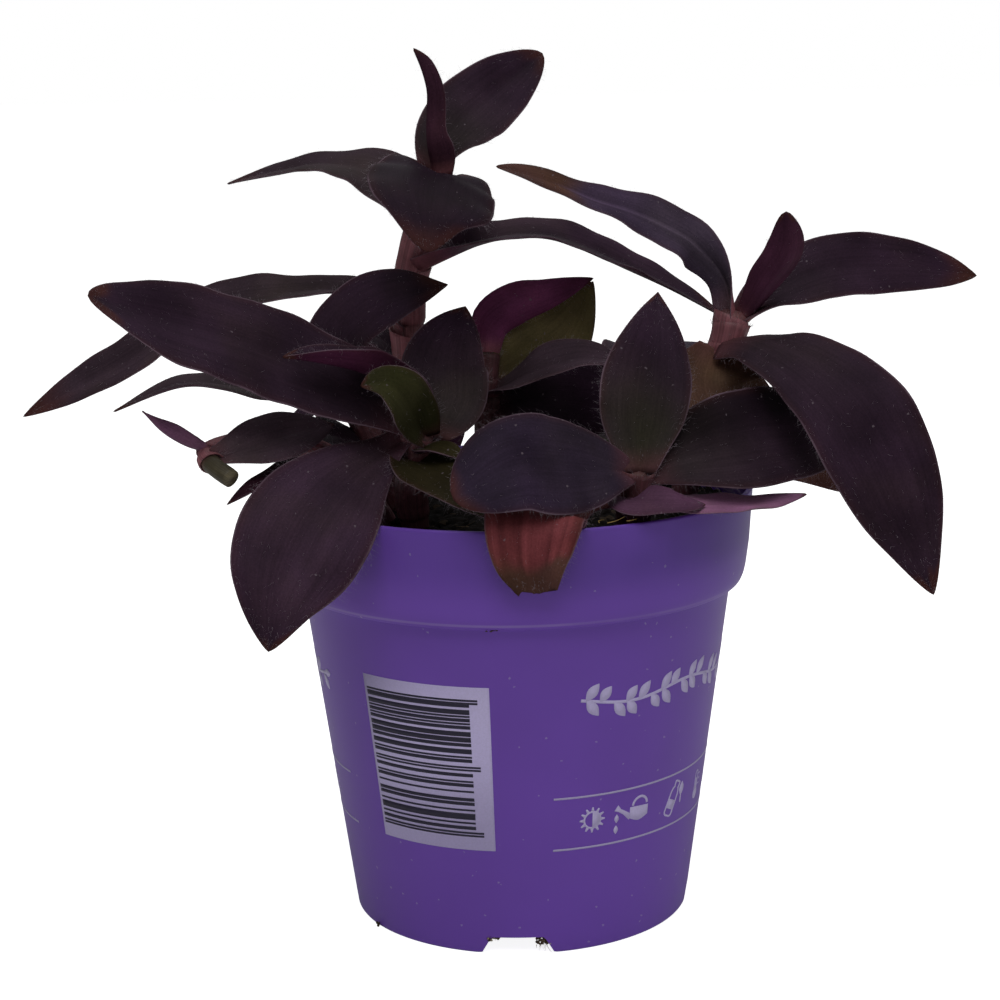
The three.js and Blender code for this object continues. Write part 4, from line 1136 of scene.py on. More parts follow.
def sprig(shell, span, ink):
    """A waving stem with pointed leaves, laid along the wall: two at every third place, else one."""
    sideways = bow(*span, SPRIG_HEIGHT, 150)
    wave = SPRIG_HEIGHT + 0.9 * np.sin(sideways / 5.2)
    printed(shell, *stroke(np.stack([sideways, wave], -1), 0.7), 0, INK, ink)
    for k, at in enumerate(np.linspace(sideways[0] + 1.2, sideways[-1] - 2.6, SPRIG_PLACES)):
        foot = np.array([at, np.interp(at, sideways, wave)])
        for hand in (1, -1) if k % 3 == 0 else ((1,) if k % 3 == 1 else (-1,)):
            size = 4.5 - 0.5 * (k % 2)
            end = foot + size * np.array([0.62, 0.79 * hand])
            printed(shell, *lens(foot, end, 2.4), 0, INK + 0.01, ink)
    end = np.array([sideways[-1], wave[-1]])
    printed(shell, *lens(end, end + np.array([3.4, 0.4]), 1.8), 0, INK + 0.01, ink)


def ray(turn, near, far, width):
    """A pointed ray of the sun."""
    way = np.array([math.cos(turn), math.sin(turn)])
    return stroke(line_between(near * way, far * way, 3), np.linspace(width, width * 0.5, 3))


def disc_part(first, last, count):
    """The lower and upper edges of a round disc between two upright lines."""
    x = np.linspace(first, last, count)
    edge = np.sqrt(np.maximum(SUN_RADIUS ** 2 - x ** 2, 0))
    return np.stack([x, -edge], -1), np.stack([x, edge], -1)


def icon_strokes():
    """Six plain care signs as lists of stroke edges, each drawn round (0, 0): half sun, watering can, feed
    bottle, thermometer, sprouting pot and sun."""
    rays = [ray(turn, 2.0, 2.9, 0.7) for turn in np.linspace(0, 2 * math.pi, 12, endpoint=False)]
    ring = stroke(arc((0, 0), SUN_RADIUS, 0, 360, 40), 0.42)
    half_disc = disc_part(0, 1.8, 10)
    disc = disc_part(-1.84, 1.84, 20)
    x = np.linspace(-1.4, 2.9, 14)
    can = (
        np.stack([x, -1.9 + 0.25 * np.abs(x - 0.7) ** 1.5], -1),
        np.stack([x, 1.0 - 0.05 * x], -1),
    )
    drops = [lens((-4.3, z), (-4.3, z - 1.7), 0.95) for z in (0.2, -2.0)]
    spout = stroke([(-1.2, -0.9), (-2.6, 0.2), (-3.7, 0.9), (-4.5, 1.5)], [1.2, 0.8, 0.7, 1.3])
    handle = stroke(arc((0.9, 1.1), 1.7, 5, 175), 0.5)
    lean = np.array([[math.cos(0.42), -math.sin(0.42)], [math.sin(0.42), math.cos(0.42)]])
    y = np.array([-3.2, -3.0, -2.7, 0.9, 1.6, 2.1, 2.2, 3.0, 3.1])
    wide = np.array([0.5, 0.95, 1.1, 1.1, 0.9, 0.55, 0.7, 0.7, 0.5])
    left, right = np.stack([-wide, y], -1) @ lean, np.stack([wide, y], -1) @ lean
    bottle = [stroke(np.vstack([left, right[::-1], left[:1]]), 0.36)]
    bottle.append(stroke(np.array([(-0.95, -1.1), (0.95, -1.1)]) @ lean, 1.7))
    bottle.append(lens((2.6, -0.2), (2.7, 2.4), 1.5))
    bottle.append(stroke([(2.6, -1.5), (2.6, -0.1)], 0.35))
    tube = [stroke(np.vstack([arc((0, 2.2), 0.75, 0, 180, 12), [(-0.75, -1.4)]]), 0.35)]
    tube.append(stroke([(0.75, -1.4), (0.75, 2.2)], 0.35))
    tube.append(stroke([(0, -2.2), (0, 1.2)], 0.6))
    tube.append((disc[0] * 0.72 + np.array([0, -2.3]), disc[1] * 0.72 + np.array([0, -2.3])))
    tube += [stroke([(1.5, z), (2.4, z)], 0.3) for z in (-0.6, 0.6, 1.8)]
    x = np.linspace(-1.9, 1.9, 8)
    planted = [(np.stack([x * 0.72, x * 0 - 3.0], -1), np.stack([x, x * 0 - 0.6], -1))]
    planted.append(stroke([(0, -0.6), (0.1, 0.8), (0, 2.0)], 0.4))
    planted += [lens((0, 0.6), (-2.3, 2.0), 1.2), lens((0, 1.0), (2.3, 2.5), 1.2)]
    planted.append(lens((0, 1.8), (0, 3.4), 1.0))
    return [
        rays + [ring, half_disc],
        [(1.15 * low, 1.15 * high) for low, high in [can, spout, handle] + drops],
        [(1.25 * low, 1.25 * high) for low, high in bottle],
        tube,
        planted,
        rays + [disc],
    ]


def mound(share):
    """Height of the soil's low mound at a share of its radius: edge + (middle - edge) cos(90 share), in
    degrees."""
    return SOIL_EDGE + (SOIL_MIDDLE - SOIL_EDGE) * np.cos(np.pi / 2 * share)


def soil_top(rings, rng, count, size):
    """Heights of the soil over rings of points: its mound, and on it the highest of many round grains
    sqrt(R^2 - d^2) - 0.4 R, worked out a batch at a time."""
    radius = np.hypot(rings[..., 0], rings[..., 1])
    share = radius / radius.max()
    base = mound(share)
    flat = rings[..., :2].reshape(-1, 2).astype(np.float32)
    spots = radius.max() * np.sqrt(rng.random(count))[:, None] * unit(rng.normal(size=(count, 2)))
    sizes = size * rng.uniform(0.4, 1.0, count) ** 2 * 2.2
    best = np.full(len(flat), -0.5 * size, np.float32)
    for first in range(0, count, BATCH):
        batch = spots[first:first + BATCH].astype(np.float32)
        grain = sizes[first:first + BATCH].astype(np.float32)
        away = ((flat[:, None] - batch[None]) ** 2).sum(-1)
        best = np.maximum(best, (np.sqrt(np.maximum(grain ** 2 - away, 0)) - 0.4 * grain).max(1))
    roll = rolling(rng, 14)(np.concatenate([flat, np.zeros((len(flat), 1))], 1)) * 0.5
    keep = smooth(1 - share, 0, 0.03)
    return base + (best + roll).reshape(base.shape) * keep - 0.3 * (1 - keep)


def lumps(centres, sizes, rng, rows=4, around=7):
    """Rough round crumbs, all at once: centre + size (1 + bump) times the directions of a small globe."""
    lift = np.linspace(-math.pi / 2, math.pi / 2, rows + 2)[1:-1, None]
    turn = np.linspace(0, 2 * math.pi, around, endpoint=False)[None]
    flat = np.cos(lift)
    globe = np.stack(np.broadcast_arrays(flat * np.cos(turn), flat * np.sin(turn), np.sin(lift)), -1)
    globe = np.vstack([globe.reshape(-1, 3), [(0, 0, -1), (0, 0, 1)]])
    bump = 1 + 0.22 * rng.normal(size=(len(centres), len(globe), 1))
    squash = rng.uniform(0.6, 1.1, (len(centres), 1, 3))
    points = centres[:, None] + np.asarray(sizes)[:, None, None] * globe * bump * squash
    index = np.arange(rows * around).reshape(rows, around)
    low, high = index[:-1], index[1:]
    quads = np.stack([low, np.roll(low, -1, 1), np.roll(high, -1, 1), high], -1).reshape(-1, 4)
    south = np.stack([np.full(around, rows * around), np.roll(index[0], -1), index[0]], -1)
    north = np.stack([index[-1], np.roll(index[-1], -1), np.full(around, rows * around + 1)], -1)
    shift = (np.arange(len(centres)) * len(globe))[:, None, None]
    faces = (quads[None] + shift).reshape(-1, 4).tolist()
    faces += (np.vstack([south, north])[None] + shift).reshape(-1, 3).tolist()
    return points.reshape(-1, 3), faces


# Materials

class Nodes:
    """Short ways to add nodes to one tree."""

    def __init__(self, tree):
        """Keeps the tree that the nodes go in."""
        self.tree = tree

    def put(self, kind, sockets=None, **settings):
        """A node of a kind, with its settings, and its sockets set to values or joined to outputs."""
        node = self.tree.nodes.new(kind)
        for name, value in settings.items():
            setattr(node, name, value)
        for name, value in (sockets or {}).items():
            if isinstance(value, bpy.types.NodeSocket):
                self.tree.links.new(value, node.inputs[name])
            else:
                node.inputs[name].default_value = value
        return node

    def math(self, operation, *values, clamp=False):
        """A Math node's output."""
        sockets = dict(enumerate(values))
        return self.put("ShaderNodeMath", sockets, operation=operation, use_clamp=clamp).outputs[0]

    def mix(self, share, first, second, blend="MIX"):
        """A colour that goes from the first to the second as share goes from 0 to 1."""
        sockets = {0: share, 6: first, 7: second}
        return self.put("ShaderNodeMix", sockets, data_type="RGBA", blend_type=blend).outputs[2]

    def ramp(self, value, low, high, to_low=0.0, to_high=1.0):
        """A value carried smoothly from one range to another."""
        sockets = {"Value": value, 1: low, 2: high, 3: to_low, 4: to_high}
        return self.put("ShaderNodeMapRange", sockets, interpolation_type="SMOOTHSTEP").outputs[0]

    def noise(self, vector, scale, detail=2.0):
        """A noise node's value."""
        sockets = {"Vector": vector, "Scale": scale, "Detail": detail}
        return self.put("ShaderNodeTexNoise", sockets).outputs[0]

    def tone(self):
        """The colour that a piece's points carry."""
        return self.put("ShaderNodeAttribute", attribute_name="tone").outputs["Color"]

    def place(self):
        """The shares across and along a leaf or a sheath."""
        return self.put("ShaderNodeSeparateXYZ", {0: self.put("ShaderNodeUVMap", uv_map="place").outputs[0]})

    def shaded(self, tone, shade):
        """A colour times a number."""
        grey = self.put("ShaderNodeCombineColor", {0: shade, 1: shade, 2: shade}).outputs[0]
        return self.mix(1.0, tone, grey, "MULTIPLY")

    def tinted(self, share, tone, tint):
        """A colour that goes to itself times a tint as share goes from 0 to 1."""
        return self.mix(share, tone, self.mix(1.0, tone, tint, "MULTIPLY"))

    def join(self, value, shader, name):
        """Joins an output to one of a shader's sockets."""
        self.tree.links.new(value, shader.inputs[name])


def group(name, inputs, outputs, build):
    """A shader node group, made once: inputs and outputs are (name, socket kind, default)."""
    if name in bpy.data.node_groups:
        return bpy.data.node_groups[name]
    tree = bpy.data.node_groups.new(name, "ShaderNodeTree")
    for title, kind, default in inputs:
        socket = tree.interface.new_socket(title, in_out="INPUT", socket_type="NodeSocket" + kind)
        if default is not None:
            socket.default_value = default
    for title, kind in outputs:
        tree.interface.new_socket(title, in_out="OUTPUT", socket_type="NodeSocket" + kind)
    nodes = Nodes(tree)
    inside = nodes.put("NodeGroupInput").outputs
    outside = nodes.put("NodeGroupOutput")
    for title, value in build(nodes, inside).items():
        tree.links.new(value, outside.inputs[title])
    return tree


def dust_group():
    """Specks and short smears of dust, as a mask."""
    def build(nodes, inside):
        """A speck in the few cells whose chance is under the amount, and a thin broken veil."""
        cells = nodes.put("ShaderNodeTexVoronoi", {"Vector": inside["Vector"], "Scale": inside["Scale"]})
        tint = nodes.put("ShaderNodeSeparateColor", {0: cells.outputs[1]}).outputs
        size = nodes.math("MULTIPLY", tint[0], 0.16)
        speck = nodes.math("SUBTRACT", 1.0, nodes.ramp(cells.outputs[0], 0.02, size))
        rare = nodes.math("GREATER_THAN", inside["Amount"], tint[1])
        wide = nodes.math("MULTIPLY", inside["Scale"], 0.12)
        veil = nodes.ramp(nodes.noise(inside["Vector"], wide, 4.0), 0.45, 0.8)
        haze = nodes.math("MULTIPLY", veil, nodes.math("MULTIPLY", inside["Amount"], 0.5))
        return {"Mask": nodes.math("MAXIMUM", nodes.math("MULTIPLY", speck, rare), haze)}

    inputs = [("Vector", "Vector", None), ("Scale", "Float", 900.0), ("Amount", "Float", 0.15)]
    return group("dust", inputs, [("Mask", "Float")], build)


def veins_group():
    """Soft streaks and fine lines that run along a leaf or a sheath: noise of (count across, few along),
    both about 0.5."""
    def build(nodes, inside):
        """Wide streaks, and finer lines beside them."""
        across = nodes.math("MULTIPLY", inside["Across"], inside["Count"])
        along = nodes.math("MULTIPLY", inside["Along"], inside["Few"])
        wide = nodes.put("ShaderNodeCombineXYZ", {0: across, 1: along}).outputs[0]
        finer = nodes.math("MULTIPLY", across, 2.7)
        thin = nodes.put("ShaderNodeCombineXYZ", {0: finer, 1: along, 2: 7.0}).outputs[0]
        return {"Streaks": nodes.noise(wide, 1.0, 2.0), "Lines": nodes.noise(thin, 1.0, 1.0)}

    inputs = [
        ("Across", "Float", 0.5), ("Along", "Float", 0.5), ("Count", "Float", 30.0), ("Few", "Float", 2.0),
    ]
    return group("long veins", inputs, [("Streaks", "Float"), ("Lines", "Float")], build)


def grain_group():
    """A soft cloud and a fine grain from noise, both about 0.5."""
    def build(nodes, inside):
        """Two noises of the point's place."""
        return {
            "Cloud": nodes.noise(inside["Vector"], inside["Cloud scale"], 3.0),
            "Grain": nodes.noise(inside["Vector"], inside["Grain scale"], 2.0),
        }

    inputs = [("Vector", "Vector", None), ("Cloud scale", "Float", 60.0), ("Grain scale", "Float", 2500.0)]
    return group("grain", inputs, [("Cloud", "Float"), ("Grain", "Float")], build)


def start_material(name, **own):
    """A material with its nodes cleared: its node helper, its surface shader and the point's own place."""
    material = bpy.data.materials.new(name)
    material.use_nodes = True
    material.node_tree.nodes.clear()
    nodes = Nodes(material.node_tree)
    shader = nodes.put("ShaderNodeBsdfPrincipled", own)
    out = nodes.put("ShaderNodeOutputMaterial")
    material.node_tree.links.new(shader.outputs[0], out.inputs[0])
    return material, nodes, shader, nodes.put("ShaderNodeTexCoord").outputs["Object"]


def use(nodes, tree, sockets):
    """A placed group node's outputs."""
    return nodes.put("ShaderNodeGroup", sockets, node_tree=tree).outputs


def bump(nodes, shader, height, strength, distance):
    """Joins a height to the shader's normal."""
    made = nodes.put("ShaderNodeBump", {"Height": height, "Strength": strength, "Distance": distance})
    nodes.join(made.outputs[0], shader, "Normal")


def rgba(tone):
    """A colour with full cover."""
    return (*tone[:3], 1.0)


def leaf_material(looks):
    """Deep leaf colour with fine long veins, a pale thin hem, a soft bloom and a little dust."""
    material, nodes, shader, spot = start_material("leaf", **{"Specular IOR Level": 0.03})
    place = nodes.place()
    sockets = {"Across": place.outputs[0], "Along": place.outputs[1], "Count": 30.0, "Few": 2.2}
    veins = use(nodes, veins_group(), sockets)
    grain = use(nodes, grain_group(), {"Vector": spot, "Cloud scale": 90.0, "Grain scale": 2400.0})
    dust = use(nodes, dust_group(), {"Vector": spot, "Scale": 2600.0, "Amount": looks.dust})
    across = nodes.math("ABSOLUTE", nodes.math("MULTIPLY_ADD", place.outputs[0], 2.0, -1.0))
    shade = nodes.ramp(veins["Streaks"], 0.3, 0.7, 0.93, 1.07)
    shade = nodes.math("MULTIPLY", shade, nodes.ramp(veins["Lines"], 0.35, 0.65, 0.95, 1.05))
    shade = nodes.math("MULTIPLY", shade, nodes.ramp(grain["Cloud"], 0.3, 0.7, 0.8, 1.2))
    shade = nodes.math("MULTIPLY", shade, nodes.ramp(grain["Grain"], 0.3, 0.7, 0.9, 1.1))
    colour = nodes.shaded(nodes.tone(), shade)
    patch = nodes.ramp(nodes.noise(spot, 55.0, 3.0), 0.42, 0.72, 0.0, 0.45)
    colour = nodes.tinted(patch, colour, PATCH_TINT)
    uneven = nodes.ramp(grain["Cloud"], 0.3, 0.65, 0.1, 0.75)
    hem = nodes.math("MULTIPLY", nodes.ramp(across, 0.955, 0.99), uneven)
    colour = nodes.mix(hem, colour, rgba(looks.hem_colour))
    colour = nodes.mix(nodes.math("MULTIPLY", dust["Mask"], 0.55), colour, rgba(looks.dust_colour))
    nodes.join(colour, shader, "Base Color")
    rough = nodes.math("MULTIPLY_ADD", grain["Cloud"], 0.16, 0.42)
    rough = nodes.math("ADD", rough, nodes.math("MULTIPLY", dust["Mask"], 0.3), clamp=True)
    nodes.join(rough, shader, "Roughness")
    height = nodes.math("ADD", veins["Streaks"], nodes.math("MULTIPLY", veins["Lines"], 0.6))
    height = nodes.math("MULTIPLY_ADD", grain["Grain"], 0.2, height)
    bump(nodes, shader, height, 0.3, 0.00016)
    return material


def stem_material():
    """Stem and sheath: their own colour with strong long lines, darker in the furrows."""
    material, nodes, shader, spot = start_material("stem", **{"Specular IOR Level": 0.22, "Roughness": 0.45})
    place = nodes.place()
    sockets = {"Across": place.outputs[0], "Along": place.outputs[1], "Count": 34.0, "Few": 1.2}
    veins = use(nodes, veins_group(), sockets)
    grain = use(nodes, grain_group(), {"Vector": spot, "Cloud scale": 180.0, "Grain scale": 1800.0})
    shade = nodes.ramp(veins["Streaks"], 0.3, 0.7, 0.72, 1.22)
    shade = nodes.math("MULTIPLY", shade, nodes.ramp(grain["Cloud"], 0.3, 0.7, 0.75, 1.2))
    nodes.join(nodes.shaded(nodes.tone(), shade), shader, "Base Color")
    height = nodes.math("MULTIPLY_ADD", grain["Grain"], 0.2, veins["Streaks"])
    bump(nodes, shader, height, 0.35, 0.00025)
    return material


def toned_material(name, roughness, specular, mottle=0.13):
    """A plain rough finish that takes its colour from the points, with a fine grain."""
    sockets = {"Specular IOR Level": specular, "Roughness": roughness}
    material, nodes, shader, spot = start_material(name, **sockets)
    grain = use(nodes, grain_group(), {"Vector": spot, "Cloud scale": 300.0, "Grain scale": 2600.0})
    shade = nodes.ramp(grain["Grain"], 0.3, 0.7, 1 - mottle, 1 + mottle)
    nodes.join(nodes.shaded(nodes.tone(), shade), shader, "Base Color")
    bump(nodes, shader, grain["Grain"], 0.15, 0.00005)
    return material


def pot_material(looks):
    """Moulded plastic: a nearly even colour, a faint orange-peel skin, light dust, painted shade on the collar
    where the leaves overhang it, and a thin painted highlight line on its lower edge."""
    material, nodes, shader, spot = start_material("pot plastic", **{"Specular IOR Level": 0.3})
    grain = use(nodes, grain_group(), {"Vector": spot, "Cloud scale": 22.0, "Grain scale": 1500.0})
    dust = use(nodes, dust_group(), {"Vector": spot, "Scale": 2300.0, "Amount": 0.012})
    deep = tuple(0.9 * c for c in looks.plastic_colour)
    colour = nodes.mix(nodes.ramp(grain["Cloud"], 0.3, 0.7), rgba(deep), rgba(looks.plastic_colour))
    colour = nodes.mix(nodes.math("MULTIPLY", dust["Mask"], 0.35), colour, rgba(looks.dust_and_highlight_colour))
    height = nodes.put("ShaderNodeSeparateXYZ", {0: spot}).outputs[2]
    # Painted highlight: a thin pale line at the ledge's height, standing in for light caught by its edge.
    away = nodes.math("ABSOLUTE", nodes.math("SUBTRACT", height, LEDGE_LINE * MM))
    painted_highlight = nodes.ramp(away, *(reach * MM for reach in PAINTED_HIGHLIGHT_REACH))
    painted_highlight = nodes.math("MULTIPLY", painted_highlight, nodes.ramp(grain["Cloud"], 0.3, 0.6, 0.05, 0.22))
    # Painted shade: the collar darkens towards the rim, where the leaves above shade it.
    painted_shade = nodes.ramp(height, *(level * MM for level in PAINTED_SHADE_HEIGHTS))
    painted_shade = nodes.math("MULTIPLY", painted_shade, nodes.ramp(grain["Cloud"], 0.35, 0.6, 1.0, 0.6))
    colour = nodes.tinted(painted_shade, colour, PAINTED_SHADE_TINT)
    colour = nodes.mix(painted_highlight, colour, rgba(looks.dust_and_highlight_colour))
    nodes.join(colour, shader, "Base Color")
    rough = nodes.math("MULTIPLY_ADD", grain["Cloud"], 0.14, looks.roughness - 0.07)
    nodes.join(rough, shader, "Roughness")
    bump(nodes, shader, grain["Grain"], 0.12, 0.00006)
    return material


def soil_material(looks):
    """Damp peat: dark crumbs, browner specks between them and a rough broken surface."""
    material, nodes, shader, spot = start_material("soil", **{"Specular IOR Level": 0.2, "Roughness": 0.95})
    grain = use(nodes, grain_group(), {"Vector": spot, "Cloud scale": 420.0, "Grain scale": 2200.0})
    cells = nodes.put("ShaderNodeTexVoronoi", {"Vector": spot, "Scale": 700.0})
    pale = nodes.ramp(nodes.put("ShaderNodeSeparateColor", {0: cells.outputs[1]}).outputs[0], 0.95, 0.99)
    dark = tuple(0.35 * c for c in looks.soil_colour)
    colour = nodes.mix(nodes.ramp(grain["Cloud"], 0.35, 0.65), rgba(dark), rgba(looks.soil_colour))
    colour = nodes.mix(nodes.math("MULTIPLY", pale, 0.25), colour, rgba(looks.fibre_colour))
    nodes.join(colour, shader, "Base Color")
    height = nodes.math("ADD", grain["Cloud"], nodes.math("MULTIPLY", grain["Grain"], 0.5))
    bump(nodes, shader, height, 0.9, 0.0006)
    return material


# Settings

TONES = (
    "deep", "bloom", "young", "olive", "fresh", "blush", "old", "rim", "grey", "under", "magenta", "red",
    "dry", "sheath", "green",
)


def colour(name, description, value):
    """A colour property."""
    return bpy.props.FloatVectorProperty(
        name=name, description=description, default=value, min=0, max=1, subtype="COLOR"
    )


def number(name, description, value, low=0.0, high=100.0, **kind):
    """A number property."""
    return bpy.props.FloatProperty(
        name=name, description=description, default=value, min=low, max=high, **kind
    )


class PlantPotLooks(bpy.types.PropertyGroup):
    """Finish and colours of the pot and its printing."""

    plastic_colour: colour("Plastic", "Colour of the moulded plastic", (0.161, 0.064, 0.436))
    # This colour is also painted as the highlight line along the ledge.
    dust_and_highlight_colour: colour("Dust", "Colour of dust and scuffs on the plastic", (0.45, 0.40, 0.50))
    ink_colour: colour("Ink", "Colour of the pale ink", (0.52, 0.46, 0.72))
    bar_colour: colour("Bars", "Colour of the bars on the label", (0.020, 0.017, 0.036))
    roughness: number("Roughness", "Roughness of the plastic", 0.4, 0, 1)


class PlantLeafLooks(bpy.types.PropertyGroup):
    """Sizes and colours of the leaves, stems and sheaths."""

    thickness: number("Thickness", "Thickness of a leaf at its midrib", 0.0009, 0.0003, 0.003, unit="LENGTH")
    seed: bpy.props.IntProperty(name="Seed", description="Start of the leaves' small waves", default=11)
    dust: number("Dust", "Share of the leaf's cells that hold a speck", 0.01, 0, 1)
    deep_colour: colour("Deep leaf", "Darkest purple leaf", (0.0265, 0.0133, 0.0250))
    bloom_colour: colour("Bloom", "Purple leaf with a bluish bloom", (0.0265, 0.0165, 0.033))
    young_colour: colour("Young leaf", "Reddish young leaf", (0.034, 0.011, 0.021))
    olive_colour: colour("Olive leaf", "Brownish green leaf", (0.022, 0.017, 0.008))
    fresh_colour: colour("Fresh leaf", "Greenish young leaf", (0.032, 0.030, 0.013))
    blush_colour: colour("Blush leaf", "Pinkish green leaf base", (0.095, 0.046, 0.036))
    old_colour: colour("Old leaf", "Withered red leaf", (0.120, 0.028, 0.032))
    rim_colour: colour("Rim leaf", "Dusty mauve leaf on the rim", (0.098, 0.042, 0.082))
    grey_colour: colour("Grey leaf", "Greyish purple leaf", (0.042, 0.026, 0.036))
    under_colour: colour("Underside", "Dull side of a leaf", (0.045, 0.016, 0.030))
    magenta_colour: colour("Magenta", "Brightest underside", (0.070, 0.013, 0.045))
    red_colour: colour("Red edge", "Reddish tips and edges", (0.055, 0.019, 0.018))
    dry_colour: colour("Dry tip", "Dried brown tips", (0.070, 0.031, 0.026))
    sheath_colour: colour("Sheath", "Pinkish brown sheaths and stems", (0.300, 0.110, 0.130))
    green_colour: colour("Green", "Green at the leaf's base", (0.030, 0.034, 0.014))
    hem_colour: colour("Hem", "Pale hairy line along the edge", (0.15, 0.10, 0.13))
    dust_colour: colour("Specks", "Dust on the leaves", (0.16, 0.13, 0.15))


class PlantHairLooks(bpy.types.PropertyGroup):
    """The fine hairs."""

    hair_colour: colour("Hairs", "Colour of the hairs", (0.33, 0.28, 0.32))
    seed: bpy.props.IntProperty(name="Seed", description="Start of the hairs' places", default=5)


class PlantSoilLooks(bpy.types.PropertyGroup):
    """The soil with its crumbs and straws."""

    soil_colour: colour("Soil", "Colour of the damp peat", (0.008, 0.0055, 0.0045))
    fibre_colour: colour("Fibres", "Colour of the straws and fibres", (0.17, 0.12, 0.075))
    grain_size: number("Grain", "Size of the larger grains", 0.0011, 0.0003, 0.004, unit="LENGTH")
    seed: bpy.props.IntProperty(name="Seed", description="Start of the grains' places", default=3)


class PlantStageLooks(bpy.types.PropertyGroup):
    """The lights and the floor."""

    floor_colour: colour("Floor", "Colour of the floor", (0.84, 0.84, 0.84))
    key: number("Key light", "Power of the key light", 8.0, 0, 500, unit="POWER")
    top: number("Top light", "Power of the light above", 3.0, 0, 500, unit="POWER")
    fill: number("Fill light", "Power of the fill light", 1.3, 0, 500, unit="POWER")
    back: number("Back light", "Power of the light behind", 1.2, 0, 500, unit="POWER")
    room: number("Room light", "Strength of the even light all round", 0.17, 0, 5)


# Pieces

class PLANT_OT_pot(bpy.types.Operator):
    """Builds the pot with its notched foot and drain holes"""

    bl_idname = "plant.make_pot"
    bl_label = "Pot"

    def execute(self, context):
        shell = Shell()
        shell.add(*lathe(self.profile(), POT_SIDES, (0, 0, 0), (0, 0, FLOOR_THICKNESS)))
        pot = shell.mesh("pot_body", [pot_material(context.scene.plant_pot)])
        tool = self.cutter()
        boolean = pot.modifiers.new("cut", "BOOLEAN")
        boolean.operation, boolean.solver, boolean.object = "DIFFERENCE", "EXACT", tool
        context.view_layer.update()
        cut = bpy.data.meshes.new_from_object(pot.evaluated_get(context.evaluated_depsgraph_get()))
        pot.modifiers.clear()
        pot.data = cut
        bpy.data.objects.remove(tool)
        cut.set_sharp_from_angle(angle=math.radians(SMOOTH_ANGLE))
        settle(pot, "pot_plastic", "pot")
        return {"FINISHED"}

    @staticmethod
    def profile():
        """The pot's wall from the middle of its underside round to that of its floor, in short steps."""
        inside = [(wall_radius(z), z) for z in (COLLAR_MIDDLE, WALL_STEP_TOP, WALL_STEP_BOTTOM)]
        bed = FLOOR_RISE + FLOOR_THICKNESS
        profile = [
            (0, 0), (PAD_RADIUS, 0), (PAD_RADIUS + PAD_STEP, FLOOR_RISE),
            (FOOT_RADIUS - FOOT_WIDTH, FLOOR_RISE), (FOOT_RADIUS - FOOT_WIDTH, 0), (FOOT_RADIUS, 0),
            (BODY_TOP_RADIUS, BODY_TOP), *COLLAR_STEP, COLLAR_LOWER, (COLLAR_MIDDLE_RADIUS, COLLAR_MIDDLE),
            (RIM_RADIUS, POT_HEIGHT), (RIM_RADIUS - RIM_EDGE, POT_HEIGHT), *inside, (wall_radius(bed), bed),
            (PAD_RADIUS, bed), (PAD_RADIUS - PAD_STEP, FLOOR_THICKNESS), (0, FLOOR_THICKNESS),
        ]
        made = rounded(profile, CORNER_ROUND)
        steps = np.maximum(np.ceil(np.linalg.norm(np.diff(made, axis=0), axis=1) / WALL_STEP).astype(int), 1)
        fine = [np.linspace(a, b, n, endpoint=False) for a, b, n in zip(made, made[1:], steps)]
        return np.vstack(fine)[1:]

    def cutter(self):
        """What is cut from the pot: flared wedges for the foot's notches and pins for the drain holes."""
        shell = Shell()
        flare = NOTCH_BOTTOM + 2 * NOTCH_FLARE
        outline = np.array([
            (-flare, -1), (flare, -1), (flare, 0), (NOTCH_BOTTOM, NOTCH_FLARE_RISE),
            (NOTCH_TOP, FLOOR_RISE - NOTCH_ROUND), (NOTCH_TOP - 2 * NOTCH_ROUND, FLOOR_RISE),
            (2 * NOTCH_ROUND - NOTCH_TOP, FLOOR_RISE), (-NOTCH_TOP, FLOOR_RISE - NOTCH_ROUND),
            (-NOTCH_BOTTOM, NOTCH_FLARE_RISE), (-flare, 0),
        ]) * (0.5, 1) + (0, 0.02)
        hole = arc((0, 0), DRAIN_RADIUS, 0, 360, 33)[:-1]
        near, far = FOOT_RADIUS - FOOT_WIDTH - 1, FOOT_RADIUS + 2 * FOOT_WIDTH
        for k in range(NOTCHES):
            turn = math.radians(NOTCH_TURN) + 2 * math.pi * k / NOTCHES
            wedge = [np.insert(outline, 1, -y, 1) for y in (far, near)]
            self.prism(shell, np.stack(wedge)[:, ::-1], turn)
            for hand in (-1, 1):
                drill = [np.insert(hole - (0, DRAIN_CIRCLE), 2, z, 1) for z in DRILL_HEIGHTS]
                self.prism(shell, np.stack(drill), turn + hand * math.radians(DRAIN_ANGLE))
        return shell.mesh("cutter", [])

    @staticmethod
    def prism(shell, rings, turn):
        """Adds a prism between two rings, turned about the upright axis."""
        c, s = math.cos(turn), math.sin(turn)
        points, faces = skin(rings @ np.array([[c, s, 0], [-s, c, 0], [0, 0, 1]]))
        shell.add(points, faces)


class PLANT_OT_printing(bpy.types.Operator):
    """Builds the thin ink of the label, the bars, the care signs and the leaf sprig"""

    bl_idname = "plant.make_printing"
    bl_label = "Printing"

    def execute(self, context):
        looks = context.scene.plant_pot
        ink, bar = tuple(looks.ink_colour), tuple(looks.bar_colour)
        shell = Shell()
        label(shell, np.random.default_rng(PRINTING_SEED), ink, bar)
        faint = tuple(0.8 * c for c in looks.ink_colour)
        for span in BAND_SPANS:
            for height in BAND_HEIGHTS:
                band(shell, span, height - BAND_LINE / 2, height + BAND_LINE / 2, INK, faint)
            for turn, strokes in zip(ICON_ANGLES, icon_strokes()):
                for lower, upper in strokes:
                    low, high = lower + (0, ICON_HEIGHT), upper + (0, ICON_HEIGHT)
                    printed(shell, low, high, span[0] + turn, INK, ink)
        for span in SPRIG_SPANS:
            sprig(shell, span, ink)
        piece = shell.mesh("printing", [toned_material("pot ink", 0.5, 0.3, 0.04)])
        settle(piece, "pot_plastic")
        return {"FINISHED"}


